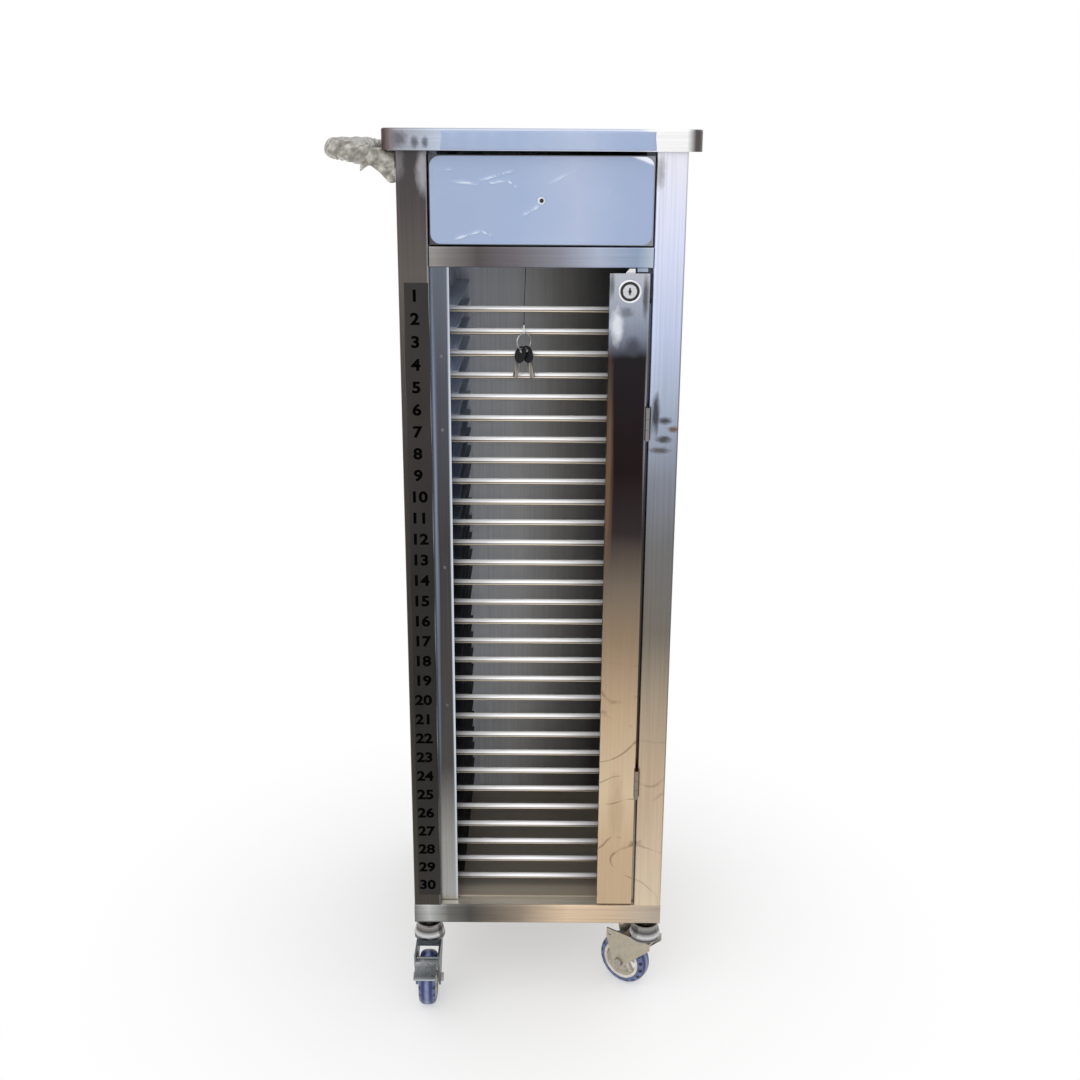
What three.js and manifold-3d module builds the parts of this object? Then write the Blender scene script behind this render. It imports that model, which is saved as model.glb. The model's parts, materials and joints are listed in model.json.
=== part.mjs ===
// Stainless chart rack on casters: thirty shelf slots, a locking bar, a drawer and a push handle.
// Millimetres, +Z up. It is laid out with X = 0 at the middle and Y = 0 at the front of the posts.
// The last lines move it so that the origin is under the middle of its box.
import * as THREE from "three";
import { mergeVertices } from "three/addons/utils/BufferGeometryUtils.js";
import Module from "manifold-3d";

const wasm = await Module();
wasm.setup();

// Overall frame
const SLOTS = 30;
const SLOT_PITCH = 27.7;
const FRAME_W = 345;
const FRAME_D = 390;
const POST = 38;
const POST_R = 4;
const TUBE_WALL = 1.5;
const SHEET = 1.2;
const BASE_H = 30;
const BASE_R = 4;

// Heights of the bays, from the base up
const LOW_ROD_UP = 20;
const RAIL_UP = 55.2;
const RAIL_H = 25;
const RAIL_D = 25;
const RAIL_R = 2.5;
const DRAWER_H = 103;
const DRAWER_UNDER = 1.5;
const DRAWER_OVER = 5;
const SKIRT = 25;
const OVERHANG = 15;
const PLATE_R = 13;
const PLATE_FOLD = 2.5;

// Shelves
const ROD_R = 4;
const ROD_Y = 45;
const LEDGE_W = 20;
const LEDGE_T = 2;
const SIDE_INSET = 9.5;
const CARRIER_W = 9;
const CARRIER_T = 3;
const LOWER_SLOTS = 15;
const BACK_LAP = 12;
const FLOOR_LAP = 15;

// Stiles beside the shelf mouth
const STILE_W = 22.5;
const STILE_Y = 13;
const STILE_RETURN = 11;

// Locking bar and its hinges
const LOCK_BAR_W = 49;
const LOCK_BAR_T = 10;
const LOCK_BAR_R = 1.5;
const LOCK_BAR_UNDER = 2;
const LOCK_BAR_OVER = 6;
const HINGE_LEAF = 1.2;
const HINGE_PLAY = 0.3;
const HINGE_LEN = 42;
const HINGE_R = 3;
const PIN_R = 1.4;
const HINGE_LEAF_D = 9;
const HINGE_FROM_TOP = 184;
const HINGE_FROM_FOOT = 187;

// Lock
const LOCK_DROP = 21;
const LOCK_RING_R = 14;
const LOCK_RING_T = 5;
const LOCK_LIP_R = 10;
const LOCK_LIP_T = 2.4;
const LOCK_BARREL_R = 11;
const PLUG_R = 8.5;
const CASE_W = 32;
const CASE_H = 30;
const CASE_BACK = 1.2;
const BOLT_W = 13.6;
const BOLT_TIP_W = 7;
const BOLT_T = 2.4;
const BOLT_TRAVEL = 8;
const BOLT_GAP = 1;
const KEYWAY_W = 2;
const KEYWAY_H = 9;
const KEYWAY_T = 3;
const STOP_W = 12.7;
const STOP_H = 5;
const STOP_D = 8;
const STOP_OFF = 15;

// Drawer
const DRAWER_FOLD = 12;
const DRAWER_SIDE = 1.2;
const TRAY_H = 72;
const TRAY_L = 315;
const TRAY_SIDE = 3;
const RUNNER_T = 1.5;
const RUNNER_W = 14;
const RUNNER_H = 26;
const RUNNER_UP = 5;
const KNOB_HOLE_R = 2.2;

// Push handle and the padding round its grip
const GRIP_R = 8;
const GRIP_WALL = 1.2;
const GRIP_REACH = 77;
const GRIP_RISE = 15;
const GRIP_UNDER = 1;
const GRIP_BEND = 30;
const WRAP_T = 4.5;
const WRAP_START = 30;

// Casters
const CASTER_H = 116;
const WHEEL_R = 37.5;
const TYRE_W = 24;
const TYRE_ROUND = 7;
const RIM_R = 28.5;
const RIM_IN_R = 24.5;
const RIM_W = 22;
const BOSS_R = 9;
const BOSS_W = 26;
const WEB_T = 5;
const SPOKES = 6;
const SPOKE_W = 6;
const AXLE_R = 4;
const AXLE_HEAD_R = 6.5;
const AXLE_HEAD_T = 3.5;
const TRAIL = 32;
const FORK_IN = 30;
const FORK_T = 2.5;
const FORK_TOP = 86;
const FORK_BACK = 18;
const FORK_EAR = 11;
const FORK_PLATE_L = 26;
const DOME_R = 22;
const DOME_SHOULDER_R = 18;
const DOME_FLANGE = 2.5;
const NECK_R = 9;
const NECK_H = 6;
const STEM_R = 5.75;
const STEM_L = 24;
const KING_R = 5;
const KING_HEAD_R = 8;
const KING_HEAD_T = 3;
const PEDAL_X = 48;
const PEDAL_DROP = 8;
const PEDAL_HUB_R = 3;
const PEDAL_PIN_R = 2;
const PEDAL_REACH = 44;
const PEDAL_MID = 18;
const PEDAL_LIFT = 6;
const PEDAL_FALL = 3;
const PEDAL_T = 2.4;
const PEDAL_GAP = 1.2;
const TRAIL_DEGREES = { front_left: -90, front_right: 144, rear_left: 90, rear_right: 112 };

// Key bunch on its string
const KEY_X = -21;
const STRING_R = 0.6;
const STRING_Y = 54;
const LINK_R = 2.6;
const LINK_WIRE = 0.8;
const LINK_LEN = 14;
const LINK_Y = 33;
const RING_R = 10.5;
const RING_WIRE = 0.7;
const RING_TURN = 35;
const KEY_TURN = 72;
const KEY_SPREAD = 21;
const KEY_SPLAY = 14;
const KEY_HEAD_W = 14;
const KEY_HEAD_H = 22;
const KEY_HEAD_T = 2.8;
const KEY_HOLE_R = 3;
const KEY_HOLE_UP = 5.5;
const KEY_DROP = 0.75;
const KEY_BLADE_W = 6;
const KEY_BLADE_T = 1.6;
const KEY_BLADE_L = 19;

// Fits
const FIT = 0.3;
const CLEAR = 1;
const STILE_UNDER = 2;

// How far a cutting body runs past, and how finely curves are divided
const CUT = 1;
const MERGE_AT = 1e-4;
const CORNER_STEPS = 3;
const BEND_STEPS = 6;
const SHELF_ROD_STEPS = 8;
const ROD_STEPS = 10;
const ROUND_STEPS = 16;
const RING_STEPS = 24;
const WHEEL_STEPS = 32;
const CORD_SIDES = 8;
const CORD_STEPS = 36;

// Levels and planes that follow from the sizes above
const baseZ0 = CASTER_H;
const baseZ1 = baseZ0 + BASE_H;
const floorZ1 = baseZ1 + SHEET;
const rodZ = (index) => baseZ1 + LOW_ROD_UP + (SLOTS - 1 - index) * SLOT_PITCH;
const railZ0 = rodZ(0) + RAIL_UP;
const railZ1 = railZ0 + RAIL_H;
const drawerZ0 = railZ1 + DRAWER_UNDER;
const drawerZ1 = drawerZ0 + DRAWER_H;
const skirtZ0 = drawerZ1 + DRAWER_OVER;
const plateZ1 = skirtZ0 + SKIRT;
const postZ1 = plateZ1 - SHEET;
const halfW = FRAME_W / 2;
const mouthX = halfW - POST;
const sideX = mouthX - SIDE_INSET;
const backY = FRAME_D - POST;
const panelY0 = RAIL_D + CLEAR;
const lockBarX1 = mouthX - 2 * HINGE_LEAF - 2 * HINGE_PLAY;
const lockBarX0 = lockBarX1 - LOCK_BAR_W;
const lockBarZ0 = floorZ1 + LOCK_BAR_UNDER;
const lockBarZ1 = railZ0 - LOCK_BAR_OVER;
const lockX = (lockBarX0 + lockBarX1) / 2;
const lockZ = lockBarZ1 - LOCK_DROP;
const hingeX = mouthX - HINGE_LEAF - HINGE_PLAY;
const hingeY = -HINGE_R - FIT;
const boltY1 = LOCK_BAR_T - CASE_BACK;
const boltY0 = boltY1 - BOLT_T;
const upperSlots = SLOTS - LOWER_SLOTS;
const seamZ = rodZ(upperSlots) + SLOT_PITCH / 2;
const runnerZ0 = railZ1 + RUNNER_UP;

// Shape helpers

// A closed mesh with shared corners, no empty triangles and its faces outward.
function tidy(source) {
  const bare = new THREE.BufferGeometry();
  bare.setAttribute("position", source.getAttribute("position").clone());
  if (source.index) {
    bare.setIndex(source.index.clone());
  }
  const shared = mergeVertices(bare, MERGE_AT);
  const spot = shared.getAttribute("position");
  const corners = [];
  const a = new THREE.Vector3();
  const b = new THREE.Vector3();
  const c = new THREE.Vector3();
  let volume = 0;
  for (let i = 0; i < shared.index.count; i += 3) {
    const tri = [shared.index.getX(i), shared.index.getX(i + 1), shared.index.getX(i + 2)];
    if (new Set(tri).size === tri.length) {
      corners.push(tri);
      a.fromBufferAttribute(spot, tri[0]);
      b.fromBufferAttribute(spot, tri[1]);
      c.fromBufferAttribute(spot, tri[2]);
      volume += a.dot(b.cross(c));
    }
  }
  const turned = volume < 0 ? corners.map((tri) => [tri[0], tri[2], tri[1]]) : corners;
  shared.setIndex(turned.flat());
  return shared;
}

function toManifold(source) {
  const mesh = tidy(source);
  return new wasm.Manifold(
    new wasm.Mesh({
      numProp: 3,
      vertProperties: Float32Array.from(mesh.getAttribute("position").array),
      triVerts: Uint32Array.from(mesh.index.array),
    }),
  );
}

function fromManifold(body) {
  const mesh = body.getMesh();
  const made = new THREE.BufferGeometry();
  const spots = Float32Array.from(mesh.vertProperties);
  made.setAttribute("position", new THREE.BufferAttribute(spots, 3));
  made.setIndex(Array.from(mesh.triVerts));
  return made;
}

function join(first, ...others) {
  const whole = others.reduce((sum, next) => sum.add(toManifold(next)), toManifold(first));
  return fromManifold(whole);
}

function cut(first, ...tools) {
  const whole = tools.reduce((rest, tool) => rest.subtract(toManifold(tool)), toManifold(first));
  return fromManifold(whole);
}

// A block between two corners.
function block(x0, x1, y0, y1, z0, z1) {
  const made = new THREE.BoxGeometry(x1 - x0, y1 - y0, z1 - z0);
  return made.translate((x0 + x1) / 2, (y0 + y1) / 2, (z0 + z1) / 2);
}

// A rectangle round the origin with round corners.
function roundRect(Kind, w, h, r) {
  const x = w / 2;
  const y = h / 2;
  const quarter = Math.PI / 2;
  const made = new Kind();
  made.moveTo(r - x, -y);
  made.lineTo(x - r, -y);
  made.absarc(x - r, r - y, r, -quarter, 0, false);
  made.lineTo(x, y - r);
  made.absarc(x - r, y - r, r, 0, quarter, false);
  made.lineTo(r - x, y);
  made.absarc(r - x, y - r, r, quarter, 2 * quarter, false);
  made.lineTo(-x, r - y);
  made.absarc(r - x, r - y, r, 2 * quarter, 3 * quarter, false);
  return made;
}

function extrude(shape, depth) {
  const how = { depth, bevelEnabled: false, curveSegments: CORNER_STEPS };
  return new THREE.ExtrudeGeometry(shape, how);
}

// Turns what was extruded along Z so that it runs along X or along Y.
const alongX = (made) => made.rotateY(Math.PI / 2);
const alongY = (made) => made.rotateX(-Math.PI / 2);

// A rectangular tube of the given length along Z, open at its ends.
function tube(w, h, r, length) {
  const shape = roundRect(THREE.Shape, w, h, r);
  const inner = Math.max(r - TUBE_WALL, TUBE_WALL / 2);
  shape.holes.push(roundRect(THREE.Path, w - 2 * TUBE_WALL, h - 2 * TUBE_WALL, inner));
  return extrude(shape, length);
}

function rod(radius, length, steps = ROUND_STEPS) {
  return new THREE.CylinderGeometry(radius, radius, length, steps);
}

// A cylinder along Y between two places.
function rodY(radius, x, y0, y1, z, steps = ROUND_STEPS) {
  return rod(radius, y1 - y0, steps).translate(x, (y0 + y1) / 2, z);
}

// A cylinder along Z between two heights.
function rodZup(radius, x, y, z0, z1, steps = ROUND_STEPS) {
  return rod(radius, z1 - z0, steps).rotateX(Math.PI / 2).translate(x, y, (z0 + z1) / 2);
}

// A body turned about Z from pairs of radius and height.
function turned(pairs, steps = ROUND_STEPS) {
  const points = pairs.map(([r, z]) => new THREE.Vector2(r, z));
  return new THREE.LatheGeometry(points, steps).rotateX(Math.PI / 2);
}

const STEEL = { color: 0xb9bcc2, roughness: 0.35, metalness: 1 };
const CHROME = { color: 0xd8dade, roughness: 0.1, metalness: 1 };
const ZINC = { color: 0xa7a39a, roughness: 0.45, metalness: 1 };
const RUBBER = { color: 0x6d77a8, roughness: 0.4, metalness: 0 };
const PALE = { color: 0xc9c4ba, roughness: 0.5, metalness: 0 };
const BLACK = { color: 0x16161a, roughness: 0.4, metalness: 0 };
const CORD = { color: 0x2a2826, roughness: 0.9, metalness: 0 };
const PADDING = { color: 0xc6cabf, roughness: 0.3, metalness: 0 };

const rack = new THREE.Group();
rack.name = "medical_chart_rack";
const layout = new THREE.Group();
rack.add(layout);

// Adds a named piece with its own finish, and gives it back to be placed.
function add(name, geometry, finish, parent = layout) {
  const made = tidy(geometry).toNonIndexed();
  made.computeVertexNormals();
  const mesh = new THREE.Mesh(made, new THREE.MeshStandardMaterial(finish));
  mesh.name = name;
  parent.add(mesh);
  return mesh;
}

const CORNERS = [
  { name: "front_left", x: POST / 2 - halfW, y: POST / 2 },
  { name: "front_right", x: halfW - POST / 2, y: POST / 2 },
  { name: "rear_left", x: POST / 2 - halfW, y: FRAME_D - POST / 2 },
  { name: "rear_right", x: halfW - POST / 2, y: FRAME_D - POST / 2 },
];

// Posts stand on the base rails and carry the top plate.
for (const corner of CORNERS) {
  const post = add(`${corner.name}_post`, tube(POST, POST, POST_R, postZ1 - baseZ1), STEEL);
  post.position.set(corner.x, corner.y, baseZ1);
}

// Base rails across the front and rear have closed ends, and a hole for each caster stem.
const baseMidZ = (baseZ0 + baseZ1) / 2;
function crossBase() {
  const thin = 2 * TUBE_WALL;
  const outer = alongX(extrude(roundRect(THREE.Shape, BASE_H, POST, BASE_R), FRAME_W));
  const core = roundRect(THREE.Shape, BASE_H - thin, POST - thin, BASE_R - TUBE_WALL);
  const hollow = alongX(extrude(core, FRAME_W - thin));
  const stemX = halfW - POST / 2;
  const under = -BASE_H / 2;
  const holes = [-stemX, stemX].map((x) =>
    rodZup(STEM_R + FIT, x, 0, under - CUT, under + TUBE_WALL + CUT),
  );
  return cut(outer.translate(-halfW, 0, 0), hollow.translate(TUBE_WALL - halfW, 0, 0), ...holes);
}
add("base_front_rail", crossBase(), STEEL).position.set(0, POST / 2, baseMidZ);
add("base_rear_rail", crossBase(), STEEL).position.set(0, FRAME_D - POST / 2, baseMidZ);

// Base rails along the sides fit between those two.
for (const side of [-1, 1]) {
  const name = side < 0 ? "base_left_rail" : "base_right_rail";
  const rail = add(name, alongY(tube(POST, BASE_H, BASE_R, backY - POST)), STEEL);
  rail.position.set(side * (halfW - POST / 2), POST, baseMidZ);
}

// Top plate: a sheet folded down all round, hollow below.
function topPlate() {
  const w = FRAME_W + 2 * OVERHANG;
  const d = FRAME_D + 2 * OVERHANG;
  const fold = {
    depth: SKIRT,
    bevelEnabled: true,
    bevelThickness: PLATE_FOLD,
    bevelSize: PLATE_FOLD,
    bevelOffset: -PLATE_FOLD,
    bevelSegments: CORNER_STEPS,
    curveSegments: 2 * CORNER_STEPS,
  };
  const outer = new THREE.ExtrudeGeometry(roundRect(THREE.Shape, w, d, PLATE_R), fold);
  outer.translate(0, FRAME_D / 2, plateZ1 - SKIRT - PLATE_FOLD);
  const room = roundRect(THREE.Shape, w - 2 * SHEET, d - 2 * SHEET, PLATE_R - SHEET);
  const under = extrude(room, SKIRT + PLATE_FOLD).translate(0, FRAME_D / 2, postZ1 - SKIRT - PLATE_FOLD);
  const below = block(-w, w, -d, 2 * d, skirtZ0 - SKIRT, skirtZ0);
  return cut(outer, under, below);
}
add("top_plate", topPlate(), STEEL);

// The rail under the drawer has a slot below for the lock's bolt, and a welded stop behind the slot.
function drawerRail() {
  const rail = alongX(tube(RAIL_H, RAIL_D, RAIL_R, 2 * mouthX));
  rail.translate(-mouthX, RAIL_D / 2, (railZ0 + railZ1) / 2);
  const half = BOLT_W / 2 + FIT;
  const slot = block(
    lockX - half,
    lockX + half,
    boltY0 - FIT,
    boltY1 + FIT,
    railZ0 - CUT,
    railZ0 + TUBE_WALL + CUT,
  );
  const stopX1 = lockX + half + STOP_OFF;
  const stopY0 = boltY1 + FIT;
  const stop = block(
    stopX1 - STOP_W,
    stopX1,
    stopY0,
    stopY0 + STOP_D,
    railZ0 - STOP_H,
    railZ0 + TUBE_WALL / 2,
  );
  return join(cut(rail, slot), stop);
}
add("drawer_rail", drawerRail(), STEEL);

// The sheet between the drawer bay and the shelf bay.
const divider = block(-sideX, sideX, RAIL_D, backY - SHEET, railZ1 - SHEET, railZ1);
add("divider_panel", divider, STEEL);

const backX = mouthX + BACK_LAP;
add("back_panel", block(-backX, backX, backY - SHEET, backY, floorZ1, postZ1), STEEL);
const floorY1 = backY + FLOOR_LAP;
add("floor_panel", block(-mouthX, mouthX, POST - FLOOR_LAP, floorY1, baseZ1, floorZ1), STEEL);

// A block on the left or the right, from distances out from the middle.
function sided(side, x0, x1, ...rest) {
  return side < 0 ? block(-x1, -x0, ...rest) : block(x0, x1, ...rest);
}

// Each side has a lower and an upper panel: a sheet with a front flange, and a ledge for every slot.
function sidePanel(side, first, last, z0, z1) {
  const pieces = [
    sided(side, sideX, sideX + SHEET, panelY0, backY - SHEET, z0, z1),
    sided(side, sideX, mouthX, panelY0, panelY0 + SHEET, z0, z1),
  ];
  const y0 = ROD_Y + ROD_R + CARRIER_T;
  const y1 = backY - SHEET - FIT;
  for (let i = first; i <= last; i += 1) {
    const top = rodZ(i) + ROD_R;
    pieces.push(sided(side, sideX - LEDGE_W, sideX + SHEET / 2, y0, y1, top - LEDGE_T, top));
  }
  return pieces;
}

// The upper panels also carry the drawer, each on an angle runner.
function runner(side) {
  const y0 = panelY0 + SHEET + FIT;
  const y1 = backY - SHEET - CLEAR;
  return [
    sided(side, sideX - RUNNER_T, sideX + SHEET / 2, y0, y1, runnerZ0, runnerZ0 + RUNNER_H),
    sided(side, sideX - RUNNER_W, sideX, y0, y1, runnerZ0, runnerZ0 + RUNNER_T),
  ];
}
for (const side of [-1, 1]) {
  const name = side < 0 ? "left" : "right";
  const lower = sidePanel(side, upperSlots, SLOTS - 1, floorZ1, seamZ - FIT);
  const upper = sidePanel(side, 0, upperSlots - 1, seamZ, postZ1);
  add(`${name}_lower_panel`, join(...lower), STEEL);
  add(`${name}_upper_panel`, join(...upper, ...runner(side)), STEEL);
}

// Shelf rods, one at the front of each slot, welded to a carrier strip at each end.
function shelfRods(first, last) {
  const z0 = rodZ(last) - ROD_R - CLEAR;
  const z1 = rodZ(first) + ROD_R + CLEAR;
  const y1 = ROD_Y + ROD_R;
  const pieces = [-1, 1].map((side) =>
    sided(side, sideX - CARRIER_W, sideX, y1 - CARRIER_T, y1, z0, z1),
  );
  for (let i = first; i <= last; i += 1) {
    const one = rod(ROD_R, 2 * sideX, SHELF_ROD_STEPS).rotateZ(Math.PI / 2);
    pieces.push(one.translate(0, ROD_Y, rodZ(i)));
  }
  return join(...pieces);
}
add("upper_shelf_rods", shelfRods(0, upperSlots - 1), CHROME);
add("lower_shelf_rods", shelfRods(upperSlots, SLOTS - 1), CHROME);

// Stiles: angle strips on the posts at both sides of the shelf mouth.
function stile(side, z1) {
  return join(
    sided(side, mouthX - STILE_W, mouthX, STILE_Y, STILE_Y + SHEET, floorZ1, z1),
    sided(side, mouthX - SHEET, mouthX, STILE_Y, STILE_Y + STILE_RETURN, floorZ1, z1),
  );
}
const lockRoomZ = lockZ - LOCK_RING_R - STILE_UNDER;
add("left_stile", stile(-1, railZ0), STEEL);
add("right_stile", stile(1, lockRoomZ), STEEL);

// Drawer front: a folded tray, open at the back.
function drawerFront() {
  const x = mouthX - DRAWER_SIDE;
  const outer = block(-x, x, 0, DRAWER_FOLD, drawerZ0, drawerZ1);
  const room = block(
    SHEET - x,
    x - SHEET,
    SHEET,
    DRAWER_FOLD + CUT,
    drawerZ0 + SHEET,
    drawerZ1 - SHEET,
  );
  const hole = rodY(KNOB_HOLE_R, 0, -CUT, SHEET + CUT, (drawerZ0 + drawerZ1) / 2);
  return cut(outer, room, hole);
}
add("drawer_front", drawerFront(), STEEL);

// Drawer tray, resting on the runners.
const trayZ0 = runnerZ0 + RUNNER_T + FIT;
const trayX = sideX - TRAY_SIDE;
const trayY0 = SHEET;
const trayY1 = trayY0 + TRAY_L;
add(
  "drawer_tray",
  cut(
    block(-trayX, trayX, trayY0, trayY1, trayZ0, trayZ0 + TRAY_H),
    block(
      SHEET - trayX,
      trayX - SHEET,
      trayY0 + SHEET,
      trayY1 - SHEET,
      trayZ0 + SHEET,
      trayZ0 + TRAY_H + CUT,
    ),
  ),
  STEEL,
);
// Locking bar: a folded channel with a hole for the lock and a slot for its bolt.
function lockBar() {
  const section = roundRect(THREE.Shape, LOCK_BAR_W, LOCK_BAR_T, LOCK_BAR_R);
  const outer = extrude(section, lockBarZ1 - lockBarZ0);
  outer.translate(lockX, LOCK_BAR_T / 2, lockBarZ0);
  const room = block(
    lockBarX0 + SHEET,
    lockBarX1 - SHEET,
    SHEET,
    LOCK_BAR_T + CUT,
    lockBarZ0 + SHEET,
    lockBarZ1 - SHEET,
  );
  const hole = rodY(LOCK_BARREL_R + FIT, lockX, -CUT, SHEET + CUT, lockZ);
  const half = BOLT_W / 2 + FIT;
  const slot = block(
    lockX - half,
    lockX + half,
    boltY0 - FIT,
    boltY1 + FIT,
    lockBarZ1 - 2 * SHEET,
    lockBarZ1 + CUT,
  );
  return cut(outer, room, hole, slot);
}
add("lock_bar", lockBar(), CHROME);

// Lock: a case behind the bar, a barrel through it and a raised ring in front.
const caseZ0 = lockZ - CASE_H / 2;
const caseZ1 = lockZ + CASE_H / 2;
function lockCase() {
  const ring = rodY(LOCK_RING_R, lockX, -LOCK_RING_T, 0, lockZ, WHEEL_STEPS);
  const barrel = rodY(LOCK_BARREL_R, lockX, -LOCK_RING_T / 2, boltY0, lockZ);
  const back = block(lockX - CASE_W / 2, lockX + CASE_W / 2, SHEET, LOCK_BAR_T, caseZ0, caseZ1);
  const lip = rodY(LOCK_LIP_R, lockX, -LOCK_RING_T - CUT, LOCK_LIP_T - LOCK_RING_T, lockZ);
  const bore = rodY(PLUG_R + FIT, lockX, -LOCK_RING_T - CUT, boltY0 - CLEAR, lockZ);
  const half = BOLT_W / 2 + FIT;
  const way = block(lockX - half, lockX + half, boltY0 - FIT, boltY1 + FIT, caseZ0 - CUT, caseZ1 + CUT);
  return cut(join(ring, barrel, back), lip, bore, way);
}
add("lock_case", lockCase(), CHROME);

function lockPlug() {
  const y0 = FIT - LOCK_RING_T;
  const body = rodY(PLUG_R, lockX, y0, boltY0 - CLEAR - FIT, lockZ);
  const slot = block(
    lockX - KEYWAY_W / 2,
    lockX + KEYWAY_W / 2,
    y0 - CUT,
    y0 + KEYWAY_T,
    lockZ - KEYWAY_H / 2,
    lockZ + KEYWAY_H / 2,
  );
  return cut(body, slot);
}
add("lock_plug", lockPlug(), CHROME);

// The bolt's tip is bevelled on its left, and it waits just below the rail.
function lockBolt() {
  const z0 = caseZ0 + BOLT_TRAVEL / 2;
  const z1 = railZ0 - BOLT_GAP;
  const x0 = lockX - BOLT_W / 2;
  const x1 = lockX + BOLT_W / 2;
  const shape = new THREE.Shape();
  shape.moveTo(x0, -z0);
  shape.lineTo(x1, -z0);
  shape.lineTo(x1, -z1);
  shape.lineTo(x1 - BOLT_TIP_W, -z1);
  shape.lineTo(x0, BOLT_TIP_W - z1);
  return alongY(extrude(shape, BOLT_T)).translate(0, boltY0, 0);
}
add("lock_bolt", lockBolt(), CHROME);

// Butt hinges: the post's leaf has the end knuckles and the pin, the bar's leaf the middle one.
function hingePair(name, z) {
  const third = HINGE_LEN / 3;
  const z0 = z - HINGE_LEN / 2;
  const z1 = z + HINGE_LEN / 2;
  const mid0 = z0 + third;
  const mid1 = z1 - third;
  const postX = mouthX - HINGE_LEAF;
  const barX = lockBarX1 + HINGE_LEAF;
  const knuckle = (a, b) => rodZup(HINGE_R, hingeX, hingeY, a, b);
  const room = rodZup(HINGE_R + FIT, hingeX, hingeY, mid0, mid1);
  const postLeaf = block(postX, mouthX, hingeY, HINGE_LEAF_D, z0, z1);
  const pin = rodZup(PIN_R, hingeX, hingeY, z0, z1);
  const posted = join(cut(postLeaf, room), knuckle(z0, mid0), knuckle(mid1, z1), pin);
  add(`${name}_hinge_post_leaf`, posted, CHROME);
  const barLeaf = block(lockBarX1, barX, hingeY, HINGE_LEAF_D, mid0 + FIT, mid1 - FIT);
  const lower = block(lockBarX1, barX, FIT, HINGE_LEAF_D, z0, z1);
  const held = join(barLeaf, lower, knuckle(mid0 + FIT, mid1 - FIT));
  const hole = rodZup(PIN_R + FIT, hingeX, hingeY, z0, z1);
  const ends = [knuckle(z0 - CUT, mid0 + FIT), knuckle(mid1 - FIT, z1 + CUT)];
  add(`${name}_hinge_bar_leaf`, cut(held, hole, ...ends), CHROME);
}
hingePair("upper", lockBarZ1 - HINGE_FROM_TOP);
hingePair("lower", lockBarZ0 + HINGE_FROM_FOOT);

// Push handle: a bent tube from the front left post to the rear left post.
const slope = GRIP_RISE / GRIP_REACH;
const gripZ = skirtZ0 - GRIP_UNDER - GRIP_R - (OVERHANG + GRIP_R) * slope;
const gripAt = (out, y) => new THREE.Vector3(-halfW - out, y, gripZ + out * slope);

function gripPath(start) {
  const y0 = POST / 2;
  const y1 = FRAME_D - POST / 2;
  const path = new THREE.CurvePath();
  const straight = GRIP_REACH - GRIP_BEND;
  path.add(new THREE.LineCurve3(gripAt(start, y0), gripAt(straight, y0)));
  path.add(
    new THREE.QuadraticBezierCurve3(
      gripAt(straight, y0),
      gripAt(GRIP_REACH, y0),
      gripAt(GRIP_REACH, y0 + GRIP_BEND),
    ),
  );
  path.add(new THREE.LineCurve3(gripAt(GRIP_REACH, y0 + GRIP_BEND), gripAt(GRIP_REACH, y1 - GRIP_BEND)));
  path.add(
    new THREE.QuadraticBezierCurve3(
      gripAt(GRIP_REACH, y1 - GRIP_BEND),
      gripAt(GRIP_REACH, y1),
      gripAt(straight, y1),
    ),
  );
  path.add(new THREE.LineCurve3(gripAt(straight, y1), gripAt(start, y1)));
  return path;
}

// Rings of a tube set out by hand, so that its bends stay round and its runs stay straight.
function sweptTube(path, outer, inner, steps) {
  const spots = [];
  const faces = [];
  const stations = [];
  for (const curve of path.curves) {
    const pieces = curve.isLineCurve3 ? 1 : steps;
    for (let i = stations.length ? 1 : 0; i <= pieces; i += 1) {
      stations.push({ at: curve.getPoint(i / pieces), along: curve.getTangent(i / pieces) });
    }
  }
  const tilt = Math.atan2(GRIP_RISE, GRIP_REACH);
  const up = new THREE.Vector3(Math.sin(tilt), 0, Math.cos(tilt));
  const radii = inner ? [outer, inner] : [outer];
  for (const { at, along } of stations) {
    const side = new THREE.Vector3().crossVectors(up, along).normalize();
    for (const r of radii) {
      for (let k = 0; k < ROD_STEPS; k += 1) {
        const turn = (2 * Math.PI * k) / ROD_STEPS;
        const spot = at.clone().addScaledVector(side, r * Math.cos(turn));
        spots.push(spot.addScaledVector(up, r * Math.sin(turn)));
      }
    }
  }
  const ring = radii.length * ROD_STEPS;
  const id = (s, wall, k) => s * ring + wall * ROD_STEPS + (k % ROD_STEPS);
  const quad = (a, b, c, d) => faces.push(a, b, c, a, c, d);
  const last = stations.length - 1;
  for (let k = 0; k < ROD_STEPS; k += 1) {
    for (let s = 0; s < last; s += 1) {
      quad(id(s, 0, k), id(s, 0, k + 1), id(s + 1, 0, k + 1), id(s + 1, 0, k));
      quad(id(s, 1, k + 1), id(s, 1, k), id(s + 1, 1, k), id(s + 1, 1, k + 1));
    }
    quad(id(0, 0, k + 1), id(0, 0, k), id(0, 1, k), id(0, 1, k + 1));
    quad(id(last, 0, k), id(last, 0, k + 1), id(last, 1, k + 1), id(last, 1, k));
  }
  const made = new THREE.BufferGeometry().setFromPoints(spots);
  made.setIndex(faces);
  return made;
}

const gripTube = sweptTube(gripPath(-GRIP_R), GRIP_R, GRIP_R - GRIP_WALL, BEND_STEPS);
const postFace = block(-halfW, halfW, -FRAME_D, 2 * FRAME_D, 0, 2 * plateZ1);
add("push_handle", cut(gripTube, postFace), STEEL);
const wrapIn = GRIP_R + FIT / 2;
add("handle_wrap", sweptTube(gripPath(WRAP_START), wrapIn + WRAP_T, wrapIn, BEND_STEPS), PADDING);

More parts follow.
